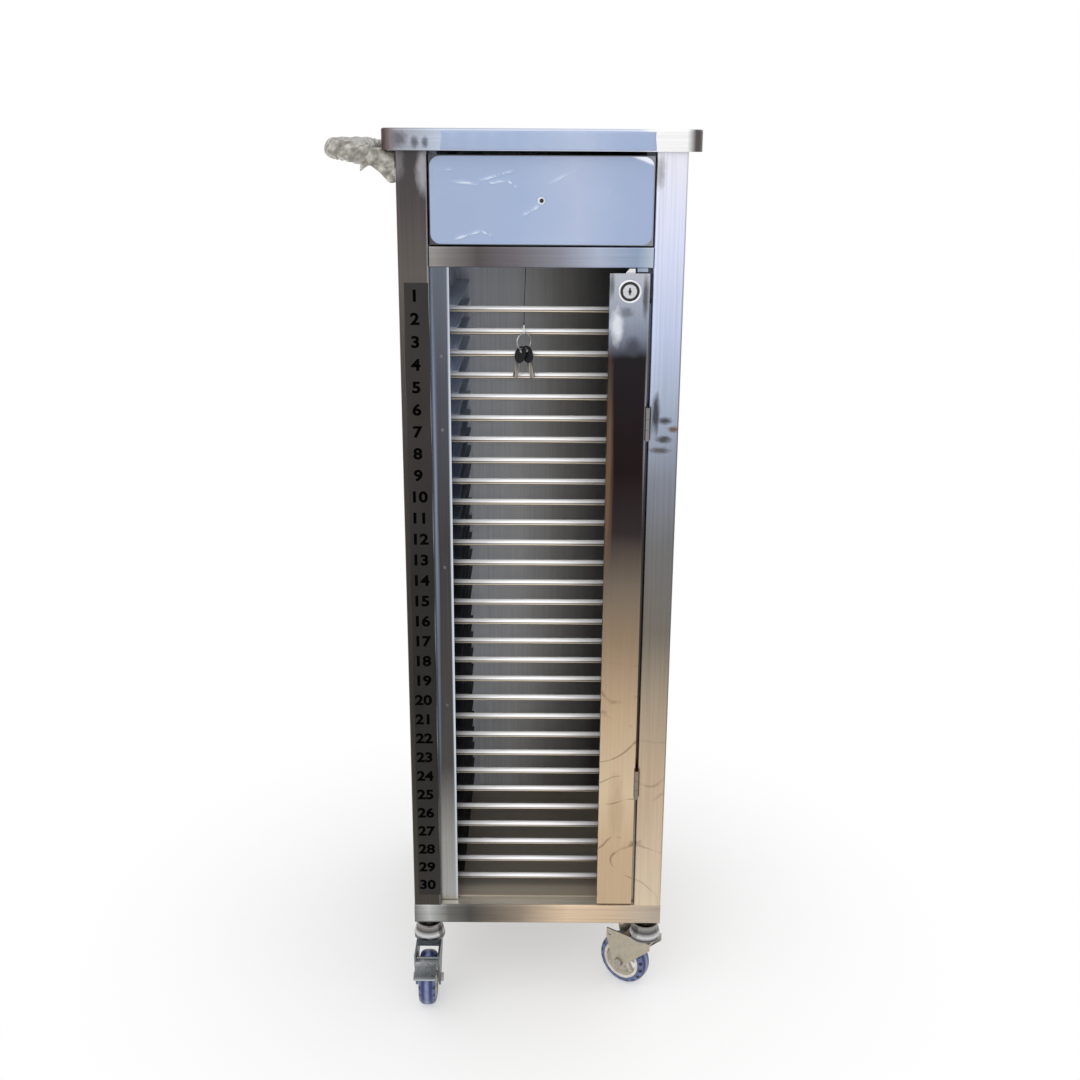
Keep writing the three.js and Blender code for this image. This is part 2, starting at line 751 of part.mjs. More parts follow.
// Each caster is a group about its swivel axis, with the wheel trailing along +X.
function casterMount() {
  const z0 = FORK_TOP + FIT;
  const z1 = CASTER_H - NECK_H;
  const headZ1 = FORK_TOP - FORK_T - FIT;
  return turned([
    [0, headZ1 - KING_HEAD_T],
    [KING_HEAD_R, headZ1 - KING_HEAD_T],
    [KING_HEAD_R, headZ1],
    [KING_R, headZ1],
    [KING_R, z0],
    [DOME_R, z0],
    [DOME_R, z0 + (z1 - z0) / 4],
    [(DOME_R + DOME_SHOULDER_R) / 2, z0 + (z1 - z0) / 2],
    [DOME_SHOULDER_R, z1 - DOME_FLANGE],
    [DOME_SHOULDER_R, z1],
    [NECK_R, z1],
    [NECK_R, CASTER_H],
    [STEM_R, CASTER_H],
    [STEM_R, CASTER_H + STEM_L],
    [0, CASTER_H + STEM_L],
  ]);
}

const pedalZ = FORK_TOP - PEDAL_DROP;
function casterFork() {
  const half = FORK_IN / 2 + FORK_T;
  const leg = new THREE.Shape();
  const front = PEDAL_X + FORK_EAR / 2;
  leg.moveTo(-FORK_BACK, FORK_TOP);
  leg.lineTo(-FORK_BACK, FORK_TOP - FORK_EAR);
  leg.lineTo(TRAIL - FORK_EAR, WHEEL_R);
  leg.absarc(TRAIL, WHEEL_R, FORK_EAR, Math.PI, 2 * Math.PI, false);
  leg.lineTo(front, pedalZ - FORK_EAR / 2);
  leg.lineTo(front, FORK_TOP);
  const sideways = (y) => extrude(leg, FORK_T).rotateX(Math.PI / 2).translate(0, y, 0);
  const plate = block(-FORK_BACK, FORK_PLATE_L, -half, half, FORK_TOP - FORK_T, FORK_TOP);
  const whole = join(plate, sideways(half), sideways(FORK_T - half));
  return cut(
    whole,
    rodZup(KING_R + FIT, 0, 0, FORK_TOP - FORK_T - CUT, FORK_TOP + CUT),
    rodY(AXLE_R + FIT, TRAIL, -half - CUT, half + CUT, WHEEL_R),
    rodY(PEDAL_PIN_R + FIT, PEDAL_X, -half - CUT, half + CUT, pedalZ),
  );
}

function casterAxle() {
  const half = FORK_IN / 2 + FORK_T + FIT;
  const shaft = rodY(AXLE_R, TRAIL, -half - AXLE_HEAD_T / 2, half + AXLE_HEAD_T / 2, WHEEL_R);
  const heads = [-1, 1].map((side) => {
    const inner = side * half;
    const outer = side * (half + AXLE_HEAD_T);
    return rodY(AXLE_HEAD_R, TRAIL, Math.min(inner, outer), Math.max(inner, outer), WHEEL_R, SPOKES);
  });
  return join(shaft, ...heads);
}

function ringAbout(inner, outer, width, steps) {
  const half = width / 2;
  const made = turned(
    [
      [inner, -half],
      [outer, -half],
      [outer, half],
      [inner, half],
      [inner, -half],
    ],
    steps,
  );
  return made.rotateX(Math.PI / 2);
}

// The wheel's hub and tyre are made about the axle.
function casterHub() {
  const rim = ringAbout(RIM_IN_R, RIM_R, RIM_W, WHEEL_STEPS);
  const boss = ringAbout(AXLE_R + FIT, BOSS_R, BOSS_W, ROUND_STEPS);
  const arms = [];
  for (let i = 0; i < SPOKES; i += 1) {
    const x0 = BOSS_R - CUT;
    const x1 = RIM_IN_R + CUT;
    const arm = block(x0, x1, -WEB_T / 2, WEB_T / 2, -SPOKE_W / 2, SPOKE_W / 2);
    arms.push(arm.rotateY((2 * Math.PI * i) / SPOKES));
  }
  return join(rim, boss, ...arms);
}

function casterTyre() {
  const half = TYRE_W / 2;
  const inner = RIM_R + FIT / 2;
  const profile = [
    [inner, -half],
    [WHEEL_R - TYRE_ROUND, -half],
  ];
  for (let i = 1; i < 2 * CORNER_STEPS; i += 1) {
    const turn = (Math.PI * i) / (2 * CORNER_STEPS);
    profile.push([WHEEL_R - TYRE_ROUND + TYRE_ROUND * Math.sin(turn), -half * Math.cos(turn)]);
  }
  profile.push([WHEEL_R - TYRE_ROUND, half], [inner, half], [inner, -half]);
  return turned(profile, WHEEL_STEPS).rotateX(Math.PI / 2);
}

// The brake pedal turns on a pin between the fork's legs.
function brakePedal() {
  const half = FORK_IN / 2 - FIT;
  const hub = rodY(PEDAL_HUB_R, PEDAL_X, -half, half, pedalZ);
  const pin = rodY(PEDAL_PIN_R, PEDAL_X, -half - FORK_T, half + FORK_T, pedalZ);
  const x1 = PEDAL_X + PEDAL_MID;
  const x2 = PEDAL_X + PEDAL_REACH;
  const z1 = pedalZ + PEDAL_LIFT;
  const z2 = pedalZ - PEDAL_FALL;
  const shape = new THREE.Shape();
  shape.moveTo(PEDAL_X, pedalZ - PEDAL_T / 2);
  shape.lineTo(x1, z1 - PEDAL_T / 2);
  shape.lineTo(x2, z2 - PEDAL_T / 2);
  shape.lineTo(x2, z2 + PEDAL_T / 2);
  shape.lineTo(x1, z1 + PEDAL_T / 2);
  shape.lineTo(PEDAL_X, pedalZ + PEDAL_T / 2);
  const plate = extrude(shape, 2 * half).rotateX(Math.PI / 2).translate(0, half, 0);
  const ahead = PEDAL_X - PEDAL_HUB_R / 2 - TRAIL;
  const treadZ = WHEEL_R + Math.sqrt(WHEEL_R ** 2 - ahead ** 2);
  const shoe = block(
    PEDAL_X - PEDAL_HUB_R / 2,
    PEDAL_X + PEDAL_HUB_R / 2,
    -half / 2,
    half / 2,
    treadZ + PEDAL_GAP,
    pedalZ,
  );
  return join(hub, pin, plate, shoe);
}

for (const corner of CORNERS) {
  const caster = new THREE.Group();
  caster.position.set(corner.x, corner.y, 0);
  caster.rotation.z = THREE.MathUtils.degToRad(TRAIL_DEGREES[corner.name]);
  layout.add(caster);
  add(`${corner.name}_caster_mount`, casterMount(), ZINC, caster);
  add(`${corner.name}_caster_fork`, casterFork(), ZINC, caster);
  add(`${corner.name}_caster_axle`, casterAxle(), CHROME, caster);
  const wheel = new THREE.Group();
  wheel.position.set(TRAIL, 0, WHEEL_R);
  caster.add(wheel);
  add(`${corner.name}_caster_hub`, casterHub(), PALE, wheel);
  add(`${corner.name}_caster_tyre`, casterTyre(), RUBBER, wheel);
  if (corner.name.endsWith("left")) {
    add(`${corner.name}_brake_pedal`, brakePedal(), ZINC, caster);
  }
}

// Keys: a string from under the divider, behind the first rod and out over the second.
const linkZ1 = rodZ(1) + ROD_R + LINK_LEN / 2;
const linkZ0 = linkZ1 - LINK_LEN;
const ringZ = linkZ0 + 2 * LINK_WIRE + RING_WIRE + FIT - RING_R;
function keyString() {
  const tip = linkZ1 - LINK_WIRE;
  const under = railZ1 - SHEET - FIT;
  const behind = ROD_Y + ROD_R + 2 * STRING_R;
  const route = [
    new THREE.Vector3(KEY_X + LINK_R, STRING_Y, under),
    new THREE.Vector3(KEY_X + LINK_R / 2, STRING_Y, (under + rodZ(0)) / 2),
    new THREE.Vector3(KEY_X, behind + STRING_R, rodZ(0) + ROD_R),
    new THREE.Vector3(KEY_X, behind, rodZ(0) - ROD_R),
    new THREE.Vector3(KEY_X, LINK_Y + STRING_R, tip + LINK_WIRE + 2 * FIT),
  ];
  const path = new THREE.CatmullRomCurve3(route, false, "centripetal");
  const shape = new THREE.Shape().absarc(0, 0, STRING_R, 0, 2 * Math.PI, false);
  const how = { steps: CORD_STEPS, extrudePath: path, curveSegments: CORD_SIDES / 2 };
  return new THREE.ExtrudeGeometry(shape, how);
}
add("key_string", keyString(), CORD);

// A long closed link, seen edge on from the front: a ring whose two halves are drawn apart.
function keyLink() {
  const made = new THREE.TorusGeometry(LINK_R - LINK_WIRE, LINK_WIRE, 2 * CORNER_STEPS, RING_STEPS);
  made.rotateY(Math.PI / 2);
  const spot = made.getAttribute("position");
  const apart = LINK_LEN / 2 - LINK_R;
  for (let i = 0; i < spot.count; i += 1) {
    const z = spot.getZ(i);
    spot.setZ(i, z < 0 ? z - apart : z + apart);
  }
  return made;
}
add("key_link", keyLink(), CHROME).position.set(KEY_X, LINK_Y, (linkZ0 + linkZ1) / 2);

// The ring hangs from the link, turned a little from the front.
const ringTurn = THREE.MathUtils.degToRad(RING_TURN);
const ringShape = new THREE.TorusGeometry(RING_R, RING_WIRE, 2 * CORNER_STEPS, RING_STEPS);
const ring = add("key_ring", ringShape, CHROME);
ring.rotation.set(Math.PI / 2, 0, ringTurn, "ZYX");
ring.position.set(KEY_X, LINK_Y, ringZ);

// A key made about the hole in its head, with the blade pointing down its own Y.
function keyShape() {
  const head = new THREE.Shape();
  head.absellipse(0, -KEY_HOLE_UP, KEY_HEAD_W / 2, KEY_HEAD_H / 2, 0, 2 * Math.PI, false);
  const hole = new THREE.Path();
  hole.absarc(0, 0, KEY_HOLE_R, 0, 2 * Math.PI, false);
  head.holes.push(hole);
  const how = { depth: KEY_HEAD_T, bevelEnabled: false, curveSegments: ROD_STEPS };
  const plate = new THREE.ExtrudeGeometry(head, how).translate(0, 0, -KEY_HEAD_T / 2);
  const top = -KEY_HOLE_UP - KEY_HEAD_H / 2;
  const blade = block(
    -KEY_BLADE_W / 2,
    KEY_BLADE_W / 2,
    top - KEY_BLADE_L,
    top + KEY_BLADE_W / 2,
    -KEY_BLADE_T / 2,
    KEY_BLADE_T / 2,
  );
  return join(plate, blade);
}

// Both keys hang on the ring, splayed to either side.
for (const side of [-1, 1]) {
  const key = add(side < 0 ? "left_key" : "right_key", keyShape(), BLACK);
  const spread = THREE.MathUtils.degToRad(side * KEY_SPREAD);
  const splay = THREE.MathUtils.degToRad(-side * KEY_SPLAY);
  const turn = THREE.MathUtils.degToRad(KEY_TURN) - Math.PI / 2;
  const out = RING_R * Math.sin(spread);
  key.rotation.set(Math.PI / 2, splay, turn, "ZYX");
  key.position.set(
    KEY_X + out * Math.cos(ringTurn),
    LINK_Y + out * Math.sin(ringTurn),
    ringZ - RING_R * Math.cos(spread) - KEY_DROP,
  );
}

// The origin goes under the middle of the box that holds everything.
const whole = new THREE.Box3().setFromObject(rack);
const middle = whole.getCenter(new THREE.Vector3());
layout.position.set(-middle.x, -middle.y, -whole.min.z);

export default rack;
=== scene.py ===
# %% [markdown]
# # A chart rack on casters
# The rack is stainless steel: four posts, thirty rods to lay chart binders on, a locking bar, a drawer
# and a push handle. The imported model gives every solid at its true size. This script dresses it: finishes
# for the steel, and thin pieces such as films, numbers and string that are better made as surfaces.

# %% Load the frame
import json
import math

import bmesh
import bpy
import numpy as np
from mathutils import Matrix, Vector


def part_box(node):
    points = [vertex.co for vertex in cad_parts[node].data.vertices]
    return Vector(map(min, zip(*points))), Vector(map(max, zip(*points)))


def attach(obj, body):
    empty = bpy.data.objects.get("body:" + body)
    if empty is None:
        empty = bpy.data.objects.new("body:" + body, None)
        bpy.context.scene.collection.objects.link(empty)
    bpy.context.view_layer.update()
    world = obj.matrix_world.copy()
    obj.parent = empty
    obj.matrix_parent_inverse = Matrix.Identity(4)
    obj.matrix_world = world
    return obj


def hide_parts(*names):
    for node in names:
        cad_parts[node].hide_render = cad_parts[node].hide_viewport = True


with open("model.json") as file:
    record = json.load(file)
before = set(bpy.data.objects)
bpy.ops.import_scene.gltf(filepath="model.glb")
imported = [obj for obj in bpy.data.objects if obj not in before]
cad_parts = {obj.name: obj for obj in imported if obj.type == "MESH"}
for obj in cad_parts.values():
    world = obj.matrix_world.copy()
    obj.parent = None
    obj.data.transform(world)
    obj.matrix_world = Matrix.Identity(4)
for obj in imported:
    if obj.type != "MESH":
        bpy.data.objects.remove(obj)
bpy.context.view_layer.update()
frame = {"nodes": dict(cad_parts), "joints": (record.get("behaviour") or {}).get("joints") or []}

# %% [markdown]
# ## The camera
# The photograph was taken from in front of the rack, with the lens at the height of the top plate and
# tilted down. Its place and lens were found by fitting the posts, rods and plate to where they show. A
# tilt about X and a small roll about the lens's own axis are easier to read as two turns than as one set
# of angles.

# %% Place the camera
CAMERA_AT = (0.0377, -1.7781, 1.176)
CAMERA_TILT = 72.68
CAMERA_ROLL = 0.346
CAMERA_LENS = 43.22
SENSOR_WIDTH = 36


def add_object(name, data):
    """An object of this data in the scene, at the origin."""
    made = bpy.data.objects.new(name, data)
    bpy.context.scene.collection.objects.link(made)
    return made


lens = bpy.data.cameras.new("photo_lens")
lens.lens = CAMERA_LENS
lens.sensor_width = SENSOR_WIDTH
camera = add_object("photo_camera", lens)
tilt = Matrix.Rotation(math.radians(CAMERA_TILT), 4, "X")
roll = Matrix.Rotation(math.radians(CAMERA_ROLL), 4, "Z")
camera.matrix_world = Matrix.Translation(CAMERA_AT) @ tilt @ roll
bpy.context.scene.camera = camera
print("camera at", CAMERA_AT, "lens", CAMERA_LENS, "mm")

# %% [markdown]
# ## Helpers for finishes
# Every finish is a Principled shader fed by noise and ramps on Object coordinates. All objects sit at the
# origin, so those coordinates are metres in the frame, and a tint can be tied to a height or a side.
# Colours are written as they look on a screen and turned into the linear values that a shader takes.

# %% Small node helpers
def screen(red, green, blue):
    """Screen colour from 0 to 255 to linear: a straight part near black, then a power of 2.4."""
    c = np.array([red, green, blue]) / 255
    linear = np.where(c <= 0.04045, c / 12.92, ((c + 0.055) / 1.055) ** 2.4)
    return (*linear.tolist(), 1.0)


def new_finish(name, metal, rough):
    """A material with its Principled shader's metal and roughness set."""
    made = bpy.data.materials.new(name)
    made.use_nodes = True
    shader = made.node_tree.nodes["Principled BSDF"]
    shader.inputs["Metallic"].default_value = metal
    shader.inputs["Roughness"].default_value = rough
    return made, made.node_tree, shader


def add_node(tree, kind, **values):
    """A shader node with its named inputs set, an underscore standing for a space."""
    made = tree.nodes.new("ShaderNode" + kind)
    for key, value in values.items():
        made.inputs[key.replace("_", " ")].default_value = value
    return made


print("material and node helpers ready")

# %% Where a point of the surface is
def place(tree, scale=(1, 1, 1), at=(0, 0, 0)):
    """Object coordinates moved so that a point is the centre, then scaled."""
    where = add_node(tree, "TexCoord")
    shift = add_node(tree, "Mapping", Scale=scale)
    shift.inputs["Location"].default_value = [-s * a for s, a in zip(scale, at)]
    tree.links.new(where.outputs["Object"], shift.inputs["Vector"])
    return shift.outputs["Vector"]


def split(tree, vector):
    """The parts of a vector, by axis."""
    made = add_node(tree, "SeparateXYZ")
    tree.links.new(vector, made.inputs["Vector"])
    return made.outputs


def length(tree, vector):
    """How long a vector is."""
    made = add_node(tree, "VectorMath")
    made.operation = "LENGTH"
    tree.links.new(vector, made.inputs[0])
    return made.outputs["Value"]


def chart(tree):
    """The parts X and Y of the piece's own UV map."""
    made = add_node(tree, "UVMap")
    made.uv_map = "wrap"
    return split(tree, made.outputs["UV"])


print("coordinate helpers ready")

# %% Numbers from nodes
def noise(tree, scale, detail=3.0):
    """Noise stretched by the scale on each axis."""
    made = add_node(tree, "TexNoise", Scale=1.0, Detail=detail)
    tree.links.new(place(tree, scale), made.inputs["Vector"])
    return made.outputs["Fac"]


def remap(tree, value, low, high, to_low=0.0, to_high=1.0):
    """A straight map from one span to another, with no clamp."""
    made = add_node(tree, "MapRange", From_Min=low, From_Max=high, To_Min=to_low, To_Max=to_high)
    made.clamp = False
    tree.links.new(value, made.inputs["Value"])
    return made.outputs["Result"]


def along(tree, axis, low, high):
    """The Object coordinate on one axis, mapped from a span in metres to 0 to 1."""
    return remap(tree, split(tree, place(tree))[axis], low, high)


def sums(tree, kind, a, b=0.0):
    """One Math node: each side is a socket or a number."""
    made = add_node(tree, "Math")
    made.operation = kind
    for socket, value in zip(made.inputs, (a, b)):
        if isinstance(value, (int, float)):
            socket.default_value = value
        else:
            tree.links.new(value, socket)
    return made.outputs["Value"]


def clamp(tree, value):
    """A number kept between 0 and 1."""
    return sums(tree, "MINIMUM", sums(tree, "MAXIMUM", value, 0.0), 1.0)


print("number helpers ready")

# %% Colours and relief from nodes
def ramp(tree, value, stops):
    """Colours by value: stops are (position, screen colour)."""
    made = add_node(tree, "ValToRGB")
    ends = made.color_ramp.elements
    ends[0].position, ends[0].color = stops[0][0], screen(*stops[0][1])
    ends[1].position, ends[1].color = stops[-1][0], screen(*stops[-1][1])
    for spot, tint in stops[1:-1]:
        ends.new(spot).color = screen(*tint)
    tree.links.new(value, made.inputs["Fac"])
    return made.outputs["Color"]


def blend_tint(tree, kind, share, a, b):
    """Two colours mixed: share is a socket or a number, and each colour a socket or a screen colour."""
    made = add_node(tree, "Mix")
    made.data_type = "RGBA"
    made.blend_type = kind
    made.clamp_factor = True
    for socket, value in ((made.inputs[0], share), (made.inputs[6], a), (made.inputs[7], b)):
        if isinstance(value, tuple):
            socket.default_value = screen(*value)
        elif isinstance(value, (int, float)):
            socket.default_value = value
        else:
            tree.links.new(value, socket)
    return made.outputs[2]


def mottle(tree, shader, scale, stops, detail=3.0):
    """The shader's colour from plain noise, the same size on each axis."""
    tint = ramp(tree, noise(tree, (scale, scale, scale), detail), stops)
    tree.links.new(tint, shader.inputs["Base Color"])


def emboss(tree, shader, height, strength, depth):
    """A faint relief that follows a number."""
    relief = add_node(tree, "Bump", Strength=strength, Distance=depth)
    tree.links.new(height, relief.inputs["Height"])
    tree.links.new(relief.outputs["Normal"], shader.inputs["Normal"])


print("colour and relief helpers ready")

# %% [markdown]
# ## Brushed and polished steel
# The same sheet looks dark where it mirrors a dark room and pale where it mirrors a window. Here the room
# is plain white, so that slow change of tint along a piece is painted in as a reflection: a ramp on one axis,
# with clouds that make its edges wander, and the brushing as noise stretched along the grain. The grain also
# sets the roughness and a faint relief. Painted patches of highlight, reflection and shadow, painted tints on
# faces that look another way, and thin bent lines then come on top.

# %% Painted patches of light and shade
PATCH_RAGGED = 0.6
PATCH_CORE = 0.35
PATCH_CLOUDS = 2.2
PATCH_DEEP = 0.02


def painted_patch(tree, tint, at, size, colour, strength):
    """A patch of painted light or shade in another tint: where the stretched distance from a point is small,
    broken up by clouds.
    """
    near = remap(tree, length(tree, place(tree, [1 / s for s in size], at)), 1.0, PATCH_CORE)
    clouds = noise(tree, [PATCH_CLOUDS / s for s in size], 4.0)
    ragged = remap(tree, clouds, 0, 1, -PATCH_RAGGED, PATCH_RAGGED)
    share = clamp(tree, sums(tree, "ADD", near, ragged))
    return blend_tint(tree, "MIX", sums(tree, "MULTIPLY", share, strength), tint, colour)


def on_face(y, rows):
    """Painted patches of light and shade on a face that looks to the front: rows are (x, z, wide, tall,
    colour, strength).
    """
    return [((x, y, z), (wide, PATCH_DEEP, tall), *look) for x, z, wide, tall, *look in rows]


print("smears are", PATCH_DEEP, "m deep")

# %% Painted tints on faces turned one way
TURNED_FROM = 0.9
TURNED_FULL = 0.99


def painted_facing_tint(tree, tint, axis, sign, colour):
    """A painted tint of light or shade where the normal points along an axis: its share grows as the surface
    turns that way.
    """
    normal = add_node(tree, "NewGeometry").outputs["True Normal"]
    share = add_node(tree, "MapRange", From_Min=TURNED_FROM * sign, From_Max=TURNED_FULL * sign)
    tree.links.new(split(tree, normal)[axis], share.inputs["Value"])
    return blend_tint(tree, "MIX", share.outputs["Result"], tint, colour)


print("turned faces change tint from", TURNED_FROM, "to", TURNED_FULL)

# %% Wandering lines
VEIN_SCALE = (10, 10, 13)
VEIN_HALF = 0.012
VEIN_FADE = 0.1
VEIN_BREAKS = (34, 34, 34)
VEIN_KEPT = (0.42, 0.56)


def veins(tree, tint, top, colour, strength):
    """Thin bent lines: where noise is nearly one half, broken up by more noise, fading in below a height."""
    gap = sums(tree, "ABSOLUTE", sums(tree, "SUBTRACT", noise(tree, VEIN_SCALE, 1.0), 0.5))
    line = sums(tree, "MAXIMUM", remap(tree, gap, VEIN_HALF, 0), 0.0)
    below = clamp(tree, along(tree, "Z", top, top - VEIN_FADE))
    kept = clamp(tree, remap(tree, noise(tree, VEIN_BREAKS), *VEIN_KEPT))
    faint = sums(tree, "MULTIPLY", kept, strength)
    share = sums(tree, "MULTIPLY", sums(tree, "MULTIPLY", line, below), faint)
    return blend_tint(tree, "MIX", share, tint, colour)


print("wandering lines fade in over", VEIN_FADE, "m")

# %% The steel finish
CLOUDS = (7, 7, 4)
GRAIN_TINTS = [(0.3, (150, 148, 146)), (0.62, (255, 255, 255))]
GRAIN_ROUGH = (-0.08, 0.14)
GRAIN_RELIEF = (0.08, 0.0004)
GRAIN_UP = (420, 420, 5)
GRAIN_ACROSS = (5, 420, 420)
GRAIN_DEEP = (420, 5, 420)


def steel(
    name, axis, span, stops, grain, rough=0.3, wander=0.1, streak=0.22,
    metal=1.0, turned=(), painted_patches=(), lines=None,
):
    """Tint = ramp(coordinate + wander * clouds), a painted reflection, then painted tints on turned faces,
    times (1 - streak * grain).

    Painted patches of light and shade and wandering lines come last. Roughness and a faint relief follow the
    grain."""
    made, tree, shader = new_finish(name, metal, rough)
    drift = remap(tree, noise(tree, CLOUDS, 4.0), 0, 1, -wander, wander)
    # Painted reflection: the tint changes with the place along one axis.
    tint = ramp(tree, sums(tree, "ADD", along(tree, axis, *span), drift), stops)
    for side, sign, colour in turned:
        tint = painted_facing_tint(tree, tint, side, sign, colour)
    brushed = noise(tree, grain, 4.0)
    tint = blend_tint(tree, "MULTIPLY", streak, tint, ramp(tree, brushed, GRAIN_TINTS))
    for row in painted_patches:
        tint = painted_patch(tree, tint, *row)
    if lines:
        tint = veins(tree, tint, *lines)
    tree.links.new(tint, shader.inputs["Base Color"])
    uneven = remap(tree, brushed, 0, 1, rough + GRAIN_ROUGH[0], rough + GRAIN_ROUGH[1])
    tree.links.new(uneven, shader.inputs["Roughness"])
    emboss(tree, shader, brushed, *GRAIN_RELIEF)
    return made


print("steel finish ready")

# %% Solids and their boxes
def dress(material, *names):
    """Gives the named solids of the frame one finish."""
    for name in names:
        solid = frame["nodes"][name]
        solid.data.materials.clear()
        solid.data.materials.append(material)


def both(node):
    """A solid's lowest and highest corners as arrays."""
    low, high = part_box(node)
    return np.array(low), np.array(high)


print("solids to dress:", len(frame["nodes"]))

# %% [markdown]
# ## The posts
# The left post is painted dark, as a post in shade, with a painted highlight along its inner edge. The right
# one is painted as a reflection of a bright room: warm near the floor, grey in the middle and blue-white at
# its head, with painted shadows beside the upper hinge. The rear posts get a gentler painted reflection.

# %% Dress the posts
post_low, post_high = both("front_left_post")
UPRIGHT = (post_low[2], post_high[2])
# Painted shade on the left post, a painted highlight along its inner edge, and at its head a polished weld
# swirl, painted paler as a reflection.
shaded_post = steel(
    "shaded_post", "Z", UPRIGHT,
    [(0, (78, 73, 66)), (0.3, (58, 56, 53)), (0.6, (68, 64, 62)), (0.83, (100, 94, 90)), (0.9, (86, 80, 80)),
     (1, (68, 68, 70))],
    GRAIN_UP, wander=0.04,
    painted_patches=on_face(post_low[1], [
        (post_high[0] - 0.004, 1.135, 0.012, 0.034, (188, 188, 192), 0.6),
        (post_high[0] - 0.0005, 0.7, 0.0034, 0.9, (176, 176, 180), 0.7),
        (post_low[0] + 0.004, 1.145, 0.009, 0.024, (136, 134, 136), 0.5),
    ]),
)
dress(shaded_post, "front_left_post")

right_low, right_high = both("front_right_post")
hinge_low, hinge_high = both("upper_hinge_post_leaf")
HINGE_X = float(hinge_high[0])
HINGE_Z = float(hinge_low[2] + hinge_high[2]) / 2
# Painted reflection of a bright room up the right post, with painted shadows beside the upper hinge, a pale
# painted patch at its head and a painted dark line along its outer edge.
lit_post = steel(
    "lit_post", "Z", UPRIGHT,
    [(0, (222, 203, 178)), (0.19, (196, 174, 148)), (0.30, (166, 151, 132)), (0.40, (121, 115, 106)),
     (0.5, (118, 118, 118)), (0.59, (136, 140, 152)), (0.69, (178, 190, 211)), (0.77, (202, 212, 240)),
     (0.88, (224, 230, 252)), (1, (244, 243, 250))],
    GRAIN_UP, wander=0.05, lines=(0.45, (120, 104, 88), 0.45),
    painted_patches=on_face(right_low[1], [
        (HINGE_X + 0.007, HINGE_Z + 0.012, 0.0068, 0.032, (52, 50, 50), 0.9),
        (HINGE_X + 0.019, HINGE_Z + 0.004, 0.0110, 0.006, (66, 62, 62), 0.9),
        (HINGE_X + 0.030, HINGE_Z - 0.007, 0.0090, 0.005, (110, 86, 70), 0.9),
        (HINGE_X + 0.018, HINGE_Z - 0.020, 0.0130, 0.006, (70, 66, 66), 0.9),
        (HINGE_X + 0.014, HINGE_Z - 0.034, 0.0170, 0.005, (90, 88, 90), 0.9),
        (0.176, 1.135, 0.009, 0.022, (150, 150, 154), 0.7),
        (right_high[0] - 0.0004, 0.7, 0.0024, 0.9, (92, 90, 92), 0.8),
    ]),
)
dress(lit_post, "front_right_post")
# Painted reflection on the rear posts: warm low down and pale at the head.
rear_post_reflection = steel(
    "rear_post_reflection", "Z", UPRIGHT, [(0, (150, 144, 134)), (0.5, (160, 160, 160)), (1, (196, 198, 204))], GRAIN_UP
)
dress(rear_post_reflection, "rear_left_post", "rear_right_post")
print("posts dressed, grain upright")

# %% [markdown]
# ## Rails, panels and the top plate
# These are folded sheet. The plate's front edge is painted as a reflection, mirror bright at the right and
# blotched at the left, and the rail under the drawer as a reflection going from brown-grey to pale. The
# sheet behind the rods is painted pale at the left and nearly black at the right, as reflection and shade.
# Each gets its own ramp, the grain follows the way that sheet was brushed, and faces that look up, outwards
# or back have a painted tint of their own.

# %% Dress the top plate and the rails
plate_low, plate_high = both("top_plate")
# Painted reflection along the plate's front edge, mirror bright at the right, with painted tints on its top
# and ends and painted dark blotches at its left.
plate_edge = steel(
    "plate_edge", "X", (plate_low[0], plate_high[0]),
    [(0, (60, 50, 48)), (0.025, (112, 98, 98)), (0.05, (152, 154, 162)), (0.18, (186, 196, 212)),
     (0.8, (200, 208, 228)), (0.86, (252, 252, 253)), (0.95, (250, 250, 251)), (0.975, (92, 86, 86)),
     (1, (84, 78, 78))],
    GRAIN_ACROSS, 0.18, 0.012, 0.12,
    turned=[("Z", 1, (158, 162, 170)), ("X", 1, (176, 174, 174)), ("X", -1, (150, 146, 142))],
    painted_patches=on_face(plate_low[1], [
        (plate_low[0] + 0.022, 1.172, 0.011, 0.012, (92, 92, 97), 0.8),
        (plate_low[0] + 0.040, 1.168, 0.006, 0.009, (84, 84, 90), 0.8),
        (plate_low[0] + 0.052, 1.168, 0.005, 0.008, (78, 80, 86), 0.8),
    ]),
)
dress(plate_edge, "top_plate")
rail_low, rail_high = both("drawer_rail")
MOUTH = (float(rail_low[0]), float(rail_high[0]))
# Painted reflection along the rail under the drawer, from brown-grey to pale.
drawer_rail_reflection = steel(
    "drawer_rail_reflection", "X", MOUTH,
    [(0, (150, 146, 144)), (0.07, (128, 126, 125)), (0.22, (92, 86, 87)), (0.4, (116, 112, 117)),
     (0.58, (142, 143, 154)), (0.76, (178, 187, 208)), (0.93, (150, 167, 193)), (1, (190, 200, 216))],
    GRAIN_ACROSS, wander=0.06,
)
dress(drawer_rail_reflection, "drawer_rail")
# Painted reflection along the base rails, with a painted highlight on their tops.
base_rail_reflection = steel(
    "base_rail_reflection", "X", (post_low[0], right_high[0]),
    [(0, (118, 116, 112)), (0.06, (200, 202, 200)), (0.14, (112, 110, 106)), (0.22, (80, 78, 74)),
     (0.43, (150, 136, 120)), (0.63, (222, 197, 168)), (0.8, (211, 186, 157)), (0.94, (196, 179, 161)),
     (1, (180, 167, 152))],
    (9, 300, 300), 0.3, 0.05, 0.3, metal=0.7, turned=[("Z", 1, (240, 232, 218))],
)
dress(base_rail_reflection, "base_front_rail", "base_rear_rail", "base_left_rail", "base_right_rail")
print("plate and rails dressed, mouth from", MOUTH[0], "to", MOUTH[1])

